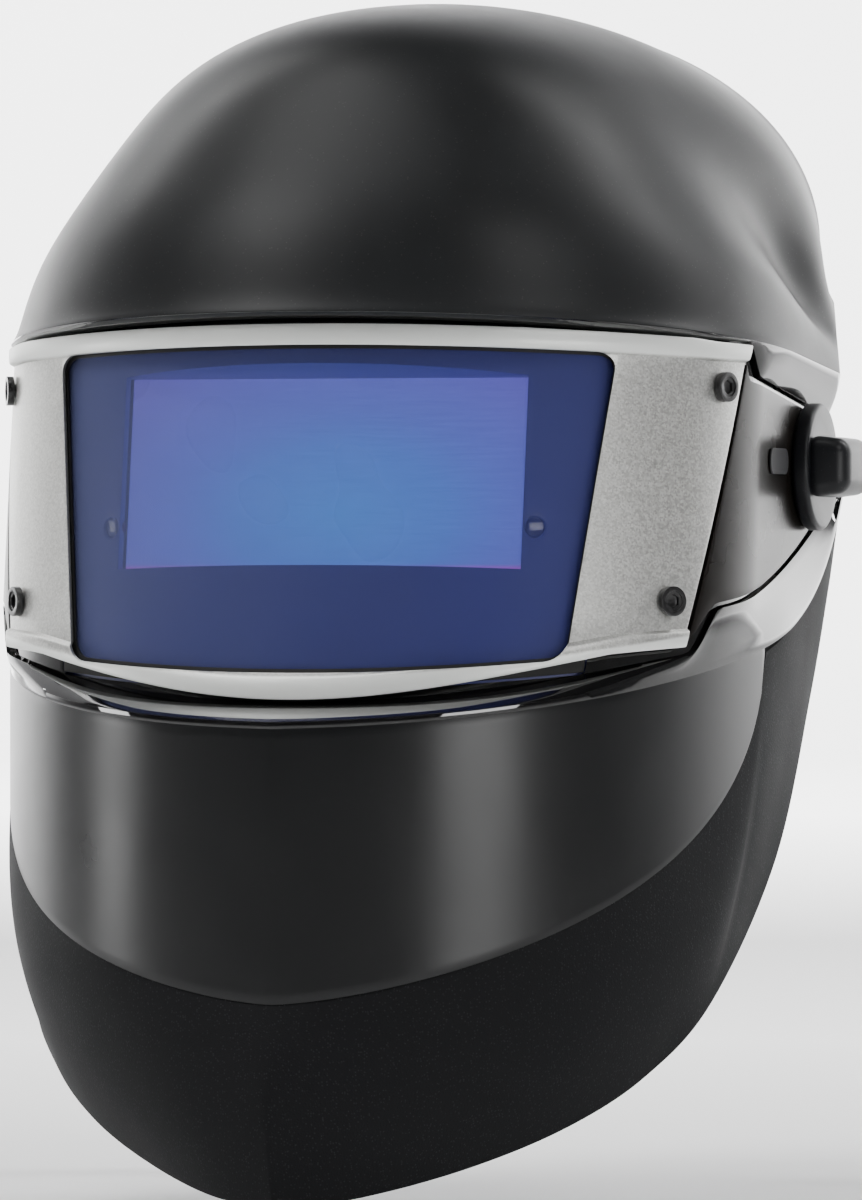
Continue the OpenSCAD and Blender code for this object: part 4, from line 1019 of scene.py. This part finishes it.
@dataclass
class Shell:
    """The moulded shell: crown, rim frame, chin, skirt and side covers."""

    rim_turn: float = 0.77
    crown_passes: int = 36

    def crown(self) -> None:
        """Build the domed crown."""
        bm = grid(112, 72, lambda u, v: FORM.crown(u, v))
        inside = [v for v in bm.verts if not v.is_boundary]
        for _ in range(self.crown_passes):
            bmesh.ops.smooth_vert(bm, verts=inside, factor=0.5, use_axis_x=True, use_axis_y=True,
                                  use_axis_z=True)
        piece = Piece("crown", bm)
        piece.wall(FORM.wall).edges(0.5)
        piece.finish("shell", FINISHES["crown_black"], "crown_black", "crown_shell")

    def frame_column(self, u: float) -> tuple[list[Vector], list[Vector]]:
        """Return one column of the rim frame, outer and inner, from the chin up to the brow."""
        s = abs(u)
        top_a = math.copysign(FORM.column(s, FORM.rear_top - FORM.corner_y), u)
        low_a = math.copysign(FORM.column(s, FORM.rear_bottom - FORM.corner_y), u)
        brow = FORM.crown(u, 0) - Vector((0, 0, FORM.joint))
        top, low = FORM.visor(top_a, 25), FORM.visor(low_a, -45)
        zt, zb = FORM.upper_rim(top[0], top[1]), FORM.lower_rim(low[0], low[1])
        turn = self.rim_turn
        past = (s - turn) / (1 - turn)
        chin_a = s / turn * 90 if s < turn else 90 + past * (FORM.rear_bottom + 20)
        chin = FORM.chin(math.copysign(chin_a, u))
        cz = FORM.rim_z(FORM.chin(chin_a)[1])
        sunk = -FORM.panel_t - 0.3
        wall = [FORM.visor(mix(low_a, top_a, k / 6), mix(zb + 0.3, zt - 0.3, k / 6), sunk)
                for k in range(7)]
        low_edge, top_edge = FORM.visor(low_a, zb), FORM.visor(top_a, zt)
        ridge = Vector((chin[0], chin[1], cz))
        lower = [ridge.lerp(low_edge, k / 5) for k in range(6)]
        upper = [top_edge.lerp(brow, k / 5) for k in range(6)]
        for band in (lower, upper):
            out = Vector((band[2][0], band[2][1] + 40, 0)).normalized()
            for k in range(1, 5):
                band[k] += out * 0.5 * math.sin(math.pi * k / 5)
        outer = [Vector((chin[0], chin[1], cz - FORM.rim_lip)), *lower, *wall, *upper]
        deep = sunk - FORM.wall + 0.2
        inside = FORM.chin(math.copysign(chin_a, u), FORM.wall)
        floor = [FORM.visor(mix(low_a, top_a, k / 6), mix(zb + 0.3, zt - 0.3, k / 6), deep)
                 for k in range(7)]
        below = FORM.visor(low_a, zb - FORM.wall + 0.3, deep)
        above = FORM.visor(top_a, zt + FORM.wall - 0.3, deep)
        under = Vector((inside[0], inside[1], cz - FORM.rim_lip + 0.4))
        brow_in = FORM.crown(u, 0, FORM.wall) - Vector((0, 0, FORM.joint))
        inner = [under - Vector((0, 0, 0.4)), *(under.lerp(below, k / 5) for k in range(6)), *floor,
                 *(above.lerp(brow_in, k / 5) for k in range(6))]
        return outer, inner

    def rim_frame(self) -> None:
        """Build the gloss frame round the front panel."""
        columns = 160
        stations = [self.frame_column(2 * i / columns - 1) for i in range(columns + 1)]
        rows = len(stations[0][0]) - 1

        def face(side: int) -> Place:
            return lambda u, v: stations[round((u + 1) / 2 * columns)][side][round(v * rows)]
        piece = Piece("rim_frame", walled(columns, rows, face(0), face(1)))
        piece.cut(WINDOW.prism(3.6, 1.2))
        for side in (-1, 1):
            bore = placed(cylinder(6.4, 24), along_x(side * FORM.side_x - 12))
            piece.cut(bore)
        piece.edges(0.45, 34)
        piece.finish("shell", FINISHES["piano_black"], "piano_black", "visor_frame", sharp=34)

    def chin(self) -> None:
        """Build the semi-gloss chin with its soft crease."""
        def place(u: float, v: float) -> Point:
            a = u * FORM.jaw_end
            p = FORM.chin(a)
            top = FORM.rim_z(FORM.chin(abs(a))[1]) - FORM.rim_lip - FORM.joint
            return p[0], p[1], mix(min(FORM.jaw_z(a), top - 1.2), top, v)
        piece = Piece("chin", grid(160, 24, place)).wall(FORM.wall).edges(0.5)
        piece.finish("shell", FINISHES["chin_black"], "chin_black", "chin_shell")

    def skirt(self) -> None:
        """Build the grained skirt that sweeps back below the chin."""
        reach, drop = -FORM.chin_reach, -FORM.skirt_drop
        half = FORM.half_w
        edge = [(0, reach, drop), (18, reach + 10, drop + 2.5), (38, reach + 28, drop + 8.5),
                (56.5, reach + 45, drop + 17.2), (71, reach + 61, drop + 28.5),
                (half - 11.7, reach + 78, drop + 45.2), (half - 4.3, -25, -92),
                (half - 3, 3, -54), (half - 3.5, 24, -26)]
        turn, end = FORM.skirt_turn, FORM.jaw_end

        def place(u: float, v: float) -> Point:
            s, v = abs(u), 1 - v
            a = s / turn * end if s < turn else mix(end, 90 + FORM.rear_bottom - 4 + 20,
                                                    (s - turn) / (1 - turn))
            p = FORM.chin(a, 0.25)
            rim = FORM.rim_z(FORM.chin(a)[1]) - FORM.rim_lip - FORM.joint
            gap = 2 * FORM.joint
            top = (min(FORM.jaw_z(a), rim - 1.2) - gap if s < turn
                   else rim - gap - 1.2 * (1 - smooth(turn, 0.7, s)))
            q = Vector((p[0], p[1], top)).lerp(spline(s, edge), v)
            swell = math.sin(math.pi * v)
            x = q[0] + 4 * swell * smooth(0, 0.4, s) * (1 - smooth(0.5, 0.8, s))
            return math.copysign(x, u), q[1] - 5 * swell * max(1 - s / 0.6, 0), q[2]
        piece = Piece("skirt", grid(160, 36, place)).wall(FORM.wall - 0.2).edges(0.5)
        piece.finish("shell", FINISHES["skirt_black"], "skirt_black", "neck_skirt")

    def side_cover(self, side: int, name: str) -> None:
        """Build one side's cover, on the side given by the sign."""
        def place(u: float, v: float) -> Point:
            j, k = (u + 1) / 2, 1 - v
            zs = mix(26, -44, k)
            to = FORM.column(1, mix(FORM.rear_top, FORM.rear_bottom, k) - FORM.corner_y) - 5
            p = FORM.visor(mix(FORM.panel_end(zs) + 1.5, to, j), zs)
            z = mix(FORM.upper_rim(p[0], p[1] + 4) - 1.2, FORM.lower_rim(p[0], p[1] + 4) + 1.2, k)
            return FORM.visor(mix(FORM.panel_end(z) + 1.5, to, j), z)
        bm = grid(56, 24, place)
        if side < 0:
            placed(bm, Matrix.Scale(-1, 4, (1, 0, 0)))
        piece = Piece(f"side_cover_gloss_{name}", bm).wall(FORM.panel_t).apply()
        piece.cut(placed(cylinder(6.35, 24), along_x(side * FORM.side_x - 12)))
        piece.edges(0.4)
        piece.finish("shell", FINISHES["side_black"], "side_black", f"side_cover_{name}")

    def badges(self) -> None:
        """Build the two plain badges."""
        bm = block((-8, -3, 0), (8, 3, 0.5))
        upright = [e for e in bm.edges if abs(e.verts[0].co.z - e.verts[1].co.z) > 0.4]
        bmesh.ops.bevel(bm, geom=upright, offset=2.6, segments=8, profile=0.5, affect="EDGES",
                        material=-1)
        top = [f for f in bm.faces if f.normal.z > 0.9]
        bmesh.ops.inset_region(bm, faces=top, thickness=0.5, depth=-0.15)
        turn = along_x(FORM.side_x + 0.2, -27, 1) @ Matrix.Rotation(math.radians(90), 4, "Z")
        piece = Piece("badges", mirrored(placed(bm, turn))).edges(0.1)
        piece.finish("shell", FINISHES["badge_grey"], "badge_grey", "side_badges")

    def build(self) -> None:
        """Build the shell's pieces in order."""
        self.crown()
        self.rim_frame()
        self.chin()
        self.skirt()
        self.side_cover(1, "left")
        self.side_cover(-1, "right")
        self.badges()


@dataclass
class Visor:
    """The silver front panel with its screws, gasket and cover lens."""

    screws: tuple[tuple[float, float], ...] = ((65, 17.7), (50.2, -31.7))
    screw_r: float = 1.5
    head_r: float = 3.45
    head_h: float = 1.6
    recess_r: float = 2.35
    socket_r: float = 1.75
    lip_top: float = 5.9
    lip_bottom: float = 6.1
    panel_turn: float = 66.0

    def panel(self) -> None:
        """Build the front panel: a flat field between two raised lips."""
        profile = [(0, -self.lip_bottom, 1.2), (0, -self.lip_bottom + 0.5, 1.42), (0, -3, 1.4),
                   (0, -1.3, 1.25), (0, -0.8, 1.0), (0, -0.3, 0.3), (0, 0, 0), *(
                       (k / 12, 0, 0) for k in range(1, 12)), (1, 0, 0), (1, 0.3, 0.3),
                   (1, 0.8, 1.0), (1, 1.3, 1.25), (1, 3, 1.4), (1, self.lip_top - 0.5, 1.42),
                   (1, self.lip_top, 1.2)]
        rows = len(profile) - 1

        def face(depth: float) -> Place:
            def place(u: float, v: float) -> Point:
                share, past, rise = profile[round(v * rows)]
                x = FORM.visor(u * self.panel_turn, 0)[0]
                lip = mix(1, 0.7, abs(u))
                low = FORM.panel_bottom(x) + self.lip_bottom * lip
                high = FORM.panel_top(x) - self.lip_top * lip
                z = mix(low, high, share) + past * lip
                return FORM.visor(u * FORM.panel_end(z), z, rise - depth)
            return place
        piece = Piece("panel", walled(140, rows, face(0), face(FORM.panel_t)))
        piece.cut(WINDOW.prism(0, 4))
        for side in (-1, 1):
            for a, z in self.screws:
                piece.cut(placed(cylinder(1.8, 10), visor_place(side * a, z, -5)))
        piece.edges(0.3, 40, 2)
        piece.finish("shell", FINISHES["silver_flake"], "silver_flake", "front_panel", sharp=46)

    def screw_set(self) -> None:
        """Build the four socket-head screws."""
        head = Piece("panel_screw_heads", cylinder(self.head_r, self.head_h, 64))
        ring = cylinder(self.recess_r, 1.2, 48)
        bmesh.ops.translate(ring, verts=ring.verts, vec=(0, 0, 1.25))
        head.cut(ring)
        socket = cylinder(self.socket_r, 3, 6)
        bmesh.ops.translate(socket, verts=socket.verts, vec=(0, 0, 0.4))
        head.cut(socket).edges(0.25, 30, 3).apply()
        master = bmesh.new()
        master.from_mesh(head.obj.data)
        bpy.data.objects.remove(head.obj)
        master.transform(Matrix.Scale(1 / MM, 4) @ Matrix.Translation((0, 0, 0.3 * MM)))
        shank = cylinder(self.screw_r, 7.1, 32)
        bmesh.ops.translate(shank, verts=shank.verts, vec=(0, 0, -6.7))
        master = joined([master, shank])
        parts = [placed(master.copy(), visor_place(a, z, 0)) for a, z in self.screws]
        master.free()
        piece = Piece("panel_screw_set", mirrored(joined(parts)))
        piece.finish("shell", FINISHES["black_screw"], "black_screw", "panel_screws", sharp=30)

    def build(self) -> None:
        """Build the visor's pieces."""
        self.panel()
        self.screw_set()
        dress("screw_inserts", "brass")
        lens = Piece("cover_lens_pane", WINDOW.sheet(2.8, FORM.panel_t + 1)).wall(1.1).edges(0.2)
        lens.finish("shell", FINISHES["cover_glass"], "cover_glass", "cover_lens")
        gasket = Piece("gasket_ring", WINDOW.sheet(3, FORM.panel_t + 0.2)).wall(0.7).apply()
        gasket.cut(WINDOW.prism(-0.8, 3.4)).edges(0.12)
        gasket.finish("shell", FINISHES["gasket"], "gasket", "window_gasket")


@dataclass
class AutoFilter:
    """The filter behind the window: bezel, glass, sensors and electronics."""

    view_w: float = 93.0
    view_h: float = 43.0
    glass_t: float = 3.6
    bezel_near: float = 4.0
    bezel_far: float = 5.8
    sensor: tuple[float, float] = (50.9, -14.7)
    chamfer: float = 2.2
    place: Matrix = field(init=False)

    def __post_init__(self) -> None:
        """Work out the filter's own frame."""
        self.place = Matrix.Translation((0, -92, -2.5)) @ Matrix.Rotation(
            -math.atan(FORM.lean), 4, "X")

    def bezel(self) -> None:
        """Build the bezel: a curved sheet, a tunnel to the glass and a chamfer round it."""
        piece = Piece("bezel", WINDOW.sheet(5.8, self.bezel_near)).wall(1.8).apply()
        w, h = self.view_w / 2, self.view_h / 2
        tunnel = Piece("tunnel", placed(block((-w - 3.2, -16, -h - 3.2), (w + 3.2, -0.2, h + 3.2)),
                                        self.place))
        front = WINDOW.sheet(12, self.bezel_near + 0.9)
        slab = Piece("front_space", front)
        mod = slab.obj.modifiers.new("wall", "SOLIDIFY")
        mod.thickness, mod.offset = 26 * MM, 1
        slab.apply()
        ahead = bmesh.new()
        ahead.from_mesh(slab.obj.data)
        ahead.transform(Matrix.Scale(1 / MM, 4))
        bpy.data.objects.remove(slab.obj)
        tunnel.cut(ahead)
        body = bmesh.new()
        body.from_mesh(tunnel.obj.data)
        body.transform(Matrix.Scale(1 / MM, 4))
        bpy.data.objects.remove(tunnel.obj)
        piece.cut(body, Cut.WITH)
        hole = block((-w, -40, -h), (w, 10, h))
        for vert in hole.verts:
            if vert.co.y < 0:
                vert.co.x *= (w + self.chamfer * 3.2) / w
                vert.co.z *= (h + self.chamfer * 1.7) / h
        piece.cut(placed(hole, self.place))
        a = math.degrees(math.asin(self.sensor[0] / (FORM.visor_r - self.bezel_near)))
        for side in (-1, 1):
            piece.cut(placed(cylinder(2.6, 16, 48), visor_place(side * a, self.sensor[1], -12)))
        piece.edges(0.5, 32, 3)
        piece.finish("shell", FINISHES["bezel_blue"], "bezel_blue", "filter_bezel", sharp=38)
        dots = placed(cylinder(2.4, 1.6, 48, 0.5), visor_place(a, self.sensor[1], -self.bezel_far))
        Piece("sensor_dots", mirrored(dots)).finish(
            "shell", FINISHES["sensor_glass"], "sensor_glass", "sensor_windows")

    def glass(self) -> None:
        """Build the dark glass."""
        w, h = self.view_w / 2 + 0.8, self.view_h / 2 + 1.5
        pane = block((-w, 0, -h), (w, self.glass_t, h), 0.4, 3)
        piece = Piece("dark_glass", placed(pane, self.place))
        piece.finish("shell", FINISHES["filter_glass"], "filter_glass", "filter_glass")

    def build(self) -> None:
        """Build the filter's pieces."""
        self.bezel()
        self.glass()
        refine_all("shell", 0.5, {"filter_housing": "housing_black",
                                  "battery_trays": "housing_black"})
        refine_all("shell", 0.15, {"filter_clips": "spring_steel", "battery_cells": "cell_steel",
                                   "indicator_leds": "led_green",
                                   "inner_cover_plate": "clear_plate"})
        for node, slot in (("power_button", "button_red"), ("shade_button", "button_grey"),
                           ("delay_button", "button_grey")):
            refined(node, 0.5).finish(node, FINISHES[slot], slot, node, sharp=32)
        dress("photo_diodes", "diode")
        dress("circuit_board", "board_green")


@dataclass
class Pivots:
    """The side pivots and their tension knobs."""

    knob_x: float = 90.85
    knob_d: float = 30.0
    knob_t: float = 4.0
    wing_h: float = 9.0
    wing_t: float = 15.0

    def knob(self, side: int, name: str) -> None:
        """Build one tension knob: a round disc with a thick wing across it."""
        piece = Piece(f"knob_{name}", placed(cylinder(self.knob_d / 2, self.knob_t, 128, 1.1),
                                             along_x(self.knob_x)))
        half = self.knob_d / 2 - 1.6
        x = self.knob_x + self.knob_t
        wing = block((x - 1.4, -half, -self.wing_t / 2), (x + self.wing_h, half, self.wing_t / 2))
        tip = [v for v in wing.verts if v.co.x > x]
        bmesh.ops.scale(wing, verts=tip, vec=(1, 0.86, 0.84))
        bmesh.ops.bevel(wing, geom=list(wing.edges), offset=3.4, segments=8, profile=0.5,
                        affect="EDGES", material=-1)
        piece.cut(wing, Cut.WITH)
        piece.cut(placed(cylinder(9.5, 2.3, 64), along_x(self.knob_x - 1)))
        piece.cut(placed(cylinder(3.85, 10, 48), along_x(self.knob_x - 1)))
        piece.edges(0.5, 30, 4)
        if side < 0:
            piece.apply().obj.data.transform(Matrix.Scale(-1, 4, (1, 0, 0)))
            piece.obj.data.flip_normals()
        piece.finish(f"knob_{name}", FINISHES["knob_black"], "knob_black",
                     f"tension_knob_{name}", sharp=36)

    def build(self) -> None:
        """Build the pivots' pieces."""
        self.knob(1, "left")
        self.knob(-1, "right")
        refine_all("pivots", 0.3, {"pivot_carrier_left": "carrier_black",
                                   "pivot_carrier_right": "carrier_black",
                                   "pivot_stud_left": "stud_zinc", "pivot_stud_right": "stud_zinc",
                                   "friction_washers": "washer_white",
                                   "knob_washers": "spring_steel"})


@dataclass
class Headgear:
    """The straps and pads round the head."""

    band_w: float = 153.0
    front: float = 56.0
    back: float = 132.0
    band_h: float = 22.0
    band_t: float = 1.8
    pad_t: float = 6.0
    strap_top: float = 92.0
    strap_w: float = 20.0
    strap_t: float = 1.6

    def ring(self, a: float, z: float, t: float) -> Vector:
        """Return a point of the head ring, t inside its outer face."""
        c = math.cos(math.radians(a))
        y = 14 - c * ((self.front + 14 if c > 0 else self.back - 14) - t)
        mid = 21 - 0.3 * y - 0.0016 * max(y, 0) ** 2
        return Vector(((self.band_w / 2 - t) * math.sin(math.radians(a)), y, mid + z))

    def band(self) -> None:
        """Build the front band, its middle a little sunk between its edges."""
        def place(u: float, v: float) -> Point:
            z = (v - 0.5) * self.band_h
            sunk = 0.45 * (1 - smooth(6.8, 7.6, abs(z)))
            return self.ring(u * 104, z, sunk)
        piece = Piece("front_band_strip", grid(120, 22, place)).wall(self.band_t - 0.4).edges(0.4)
        piece.finish("headgear", FINISHES["band_grey"], "band_grey", "front_band")

    def sweat_band(self) -> None:
        """Build the padded sweat band: a crowned pad with sewn channels and tapered ends."""
        def place(u: float, v: float) -> Point:
            r = 2 * math.pi * v
            c, s = math.cos(r), math.sin(r)
            taper = math.sqrt(max(1 - max((abs(u) - 0.95) / 0.05, 0) ** 2, 0.0))
            channel = 1 - 0.22 * math.exp(-((((u * 5.5) % 1) - 0.5) / 0.07) ** 2)
            z = (self.band_h / 2 + 3) * math.copysign(abs(c) ** 0.65, c) * mix(0.7, 1, taper)
            thick = self.pad_t / 2 * math.copysign(abs(s) ** 0.75, s) * taper * channel
            return self.ring(u * 62, z, self.band_t + 0.35 + self.pad_t / 2 - thick)
        piece = Piece("sweat_pad", closed(176, 40, place))
        pad = piece.finish("headgear", FINISHES["pad_fabric"], "pad_fabric", "sweat_band", sharp=80)

    def strap(self, a: float, y: float, t: float) -> Vector:
        """Return a point of the crown strap's arch, t inside the outer layer near the top."""
        d = t * min(max((84 - abs(a)) / 30, 0), 1)
        r = math.radians(a)
        return Vector(((self.band_w / 2 - self.band_t - 0.95 - d) * math.sin(r), 20 + y,
                       16 + (self.strap_top - 16 - d) * math.cos(r)))

    def crown_strap(self, side: int, name: str) -> None:
        """Build one crown strap, its free end rounded and its middle a little sunk."""
        first, last, under = (-16, 90, 0) if side > 0 else (16, -90, self.strap_t + 0.2)

        def place(u: float, v: float) -> Point:
            k = (u + 1) / 2
            free = math.sqrt(max(1 - max((0.09 - k) / 0.09, 0) ** 2, 0.02))
            y = (v - 0.5) * self.strap_w * free
            sunk = 0.4 * (1 - smooth(5.6, 6.4, abs(y)))
            a = mix(first, last, k)
            p = self.strap(a, -y * side if side < 0 else y, under)
            r = math.radians(a)
            return p - sunk * Vector((math.sin(r), 0, math.cos(r)))
        bm = grid(100, 20, place)
        bmesh.ops.recalc_face_normals(bm, faces=bm.faces)
        if sum(f.normal.z for f in bm.faces) < 0:
            bmesh.ops.reverse_faces(bm, faces=bm.faces)
        piece = Piece(f"crown_strap_band_{name}", bm).wall(self.strap_t - 0.4).edges(0.35)
        piece.finish("headgear", FINISHES["band_grey"], "band_grey", f"crown_strap_{name}")

    def occipital(self) -> None:
        """Build the strap that leans over the back of the head."""
        half, lean = self.band_w / 2 - 2 * self.band_t - 3.4, math.radians(24)

        def place(u: float, v: float) -> Point:
            a, s = math.radians(u * 90), (0.5 - v) * 14
            sunk = 0.4 * (1 - smooth(3.8, 4.6, abs(s)))
            r = (62 - sunk) * math.cos(a)
            return ((half - sunk) * math.sin(a), 40 + r * math.sin(lean) + s * math.cos(lean),
                    2 + r * math.cos(lean) - s * math.sin(lean))
        bm = grid(110, 16, place)
        if sum(f.normal.z for f in bm.faces) < 0:
            bmesh.ops.reverse_faces(bm, faces=bm.faces)
        piece = Piece("back_strap", bm).wall(self.strap_t - 0.4).edges(0.35)
        piece.finish("headgear", FINISHES["band_grey"], "band_grey", "occipital_strap")

    def nape_straps(self) -> None:
        """Build the nape straps, which run between the head band and the ratchet; they ride on no
        body.
        """
        for name in ("left", "right"):
            node = f"nape_strap_{name}"
            piece = refined(node, 0.25).apply()
            mesh = piece.obj.data
            mesh.shade_smooth()
            mesh.set_sharp_from_angle(angle=math.radians(32))
            mesh.materials.append(FINISHES["band_grey"])
            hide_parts(node)
            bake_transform(piece.obj)
            LOG.info("%s: bends between headgear and nape_unit", piece.obj.name)

    def build(self) -> None:
        """Build the headgear's pieces."""
        self.band()
        self.sweat_band()
        self.crown_strap(1, "left")
        self.crown_strap(-1, "right")
        self.occipital()
        self.nape_straps()
        refine_all("headgear", 0.4, {"side_plate_left": "carrier_black",
                                     "side_plate_right": "carrier_black",
                                     "plate_rivets": "stud_zinc", "strap_rivets": "stud_zinc",
                                     "strap_pegs": "peg_black"})


@dataclass
class Ratchet:
    """The size ratchet at the nape, with its pad."""

    nape_z: float = -46.478
    pad_front: float = 116.5
    pad_t: float = 6.0
    pad_w: float = 56.0
    pad_h: float = 32.0

    def pad(self) -> None:
        """Build the nape pad: crowned, sewn across twice, with tapered ends."""
        def place(u: float, v: float) -> Point:
            r = 2 * math.pi * v
            c, s = math.cos(r), math.sin(r)
            taper = math.sqrt(max(1 - max((abs(u) - 0.82) / 0.18, 0) ** 2, 0.0))
            channel = 1 - 0.3 * sum(math.exp(-((u - k) / 0.06) ** 2) for k in (-0.4, 0.4))
            z = self.pad_h / 2 * math.copysign(abs(c) ** 0.6, c) * mix(0.72, 1, taper)
            y = self.pad_t / 2 * math.copysign(abs(s) ** 0.75, s) * taper * channel
            return (u * self.pad_w / 2, self.pad_front + self.pad_t / 2 + y, self.nape_z + z)
        piece = Piece("nape_cushion", closed(96, 40, place))
        pad = piece.finish("nape_unit", FINISHES["pad_fabric"], "pad_fabric", "nape_pad", sharp=80)

    def build(self) -> None:
        """Build the ratchet's pieces."""
        self.pad()
        refine_all("nape_unit", 0.6, {"ratchet_housing": "band_grey", "ratchet_cover": "band_grey"})
        refine_all("nape_unit", 0.15, {"cover_screws": "stud_zinc"})
        refine_all("dial", 0.8, {"ratchet_knob": "knob_black"})
        refine_all("dial", 0.15, {"ratchet_pinion": "washer_white", "ratchet_pawl": "washer_white"})


@dataclass
class Studio:
    """The floor, pale near the helmet and painted darker grey in front and high up as painted
    shade, the lights and the camera.
    """

    azimuth: float = 16.2
    distance: float = 2.5
    aim: tuple[float, float, float] = (0.0241, -0.0880, -0.0314)
    floor_z: float = -0.172
    flat_r: int = 7000
    curve_r: int = 3000
    wall_top: int = 8800
    pale: Color = (0.88, 0.88, 0.88)
    # The floor's dark grey is painted shade, not the paper's colour.
    dark: Color = (0.26, 0.26, 0.265)
    painted_shade_y: tuple[float, float] = (4.4, 0.7)
    painted_shade_r: tuple[float, float] = (0.9, 1.9)
    painted_shade_z: tuple[float, float] = (2.2, 4.4)
    world_power: float = 0.06
    lens: float = 326.5
    lights: tuple[tuple[str, Point, Point, tuple[float, float], float], ...] = (
        ("key_left", (-1.1, -1.3, 1.7), (0, 0, 0), (1.1, 0.9), 24),
        ("key_right", (1.5, -1.1, 1.5), (0, 0, 0), (0.9, 0.7), 9),
        ("overhead", (-0.5, -0.4, 2.0), (0, 0, 0), (1.5, 1.1), 18),
        ("low_left", (-1.9, -0.44, 0.02), (0, 0, -0.05), (0.45, 0.34), 5.5),
        ("low_right", (1.52, -1.30, 0.02), (0, 0, -0.05), (0.8, 0.34), 8.5),
        ("backdrop_left", (-4.4, 2.7, 4.1), (-2.4, 9.5, 1.0), (4.1, 4.1), 1800),
        ("backdrop_right", (3.4, 2.7, 4.1), (0.7, 9.5, 1.0), (4.1, 4.1), 1800))

    def floor(self) -> None:
        """Build a wide round floor that curves up all round, painted darker in front and high up as
        painted shade.
        """
        bm = bmesh.new()
        base = self.floor_z / MM
        turns = [math.radians(9 * k) for k in range(1, 11)]
        rise = [(0, 0), (2000, 0), (self.flat_r, 0), *(
            (self.flat_r + self.curve_r * math.sin(a), self.curve_r * (1 - math.cos(a)))
            for a in turns), (self.flat_r + self.curve_r, self.wall_top)]
        line = [bm.verts.new((x, 0, base + z)) for x, z in rise]
        edges = [bm.edges.new(pair) for pair in zip(line, line[1:])]
        bmesh.ops.spin(bm, geom=[*line, *edges], cent=(0, 0, 0), axis=(0, 0, 1),
                       angle=2 * math.pi, steps=96, use_merge=True)
        bmesh.ops.remove_doubles(bm, verts=bm.verts, dist=0.01)
        bmesh.ops.recalc_face_normals(bm, faces=bm.faces)
        bmesh.ops.reverse_faces(bm, faces=bm.faces)
        floor = link("studio_floor", bm)
        floor.data.shade_smooth()
        material = bpy.data.materials.new("StudioPaperPaintedShade")
        material.use_nodes = True
        shader = material.node_tree.nodes["Principled BSDF"]
        g = Graph(material.node_tree)
        place = g.add("ShaderNodeTexCoord").outputs["Object"]
        axes = g.add("ShaderNodeSeparateXYZ", {0: place}).outputs
        # Painted shade: on the camera's side, fading in from 0.9 to 1.9 m out, and high up the
        # wall, the floor turns dark grey, standing in for the unlit studio.
        ahead = g.ramp(axes[1], *self.painted_shade_y)
        reach = g.add("ShaderNodeVectorMath", {0: place}, operation="LENGTH").outputs[1]
        away = g.ramp(reach, *self.painted_shade_r)
        high = g.ramp(axes[2], *self.painted_shade_z)
        share = g.math("MAXIMUM", g.math("MULTIPLY", ahead, away), high)
        tone = g.blend(share, self.pale, self.dark)
        g.tree.links.new(tone, shader.inputs["Base Color"])
        shader.inputs["Roughness"].default_value = 0.9
        shader.inputs["Specular IOR Level"].default_value = 0.1
        floor.data.materials.append(material)

    @staticmethod
    def light(name: str, place: Point, target: Point, size: tuple[float, float],
              power: float) -> None:
        """Add a soft rectangular light that faces a target."""
        data = bpy.data.lights.new(name, "AREA")
        data.shape = "RECTANGLE"
        data.size, data.size_y = size
        data.energy = power
        lamp = bpy.data.objects.new(name, data)
        bpy.context.scene.collection.objects.link(lamp)
        lamp.location = place
        lamp.rotation_euler = (Vector(target) - Vector(place)).to_track_quat("-Z", "Y").to_euler()

    def build(self) -> None:
        """Build the studio."""
        self.floor()
        for row in self.lights:
            self.light(*row)
        world = bpy.data.worlds.new("studio_world")
        world.use_nodes = True
        world.node_tree.nodes["Background"].inputs[0].default_value = (0.9, 0.92, 0.95, 1)
        world.node_tree.nodes["Background"].inputs[1].default_value = self.world_power
        bpy.context.scene.world = world
        data = bpy.data.cameras.new("camera")
        data.sensor_fit = "VERTICAL"
        data.sensor_height = 36.0
        data.lens = self.lens
        data.clip_end = 50
        camera = bpy.data.objects.new("camera", data)
        bpy.context.scene.collection.objects.link(camera)
        a = math.radians(self.azimuth)
        out = Vector((math.sin(a), -math.cos(a), 0))
        camera.location = Vector(self.aim) + out * self.distance
        camera.rotation_euler = (math.radians(90), 0, a)
        bpy.context.scene.camera = camera


def main() -> None:
    """Build the helmet and its studio."""
    for part in (Shell(), Visor(), AutoFilter(), Pivots(), Headgear(), Ratchet(), Studio()):
        LOG.info("building %s", type(part).__name__)
        part.build()


if __name__ == "__main__":
    main()
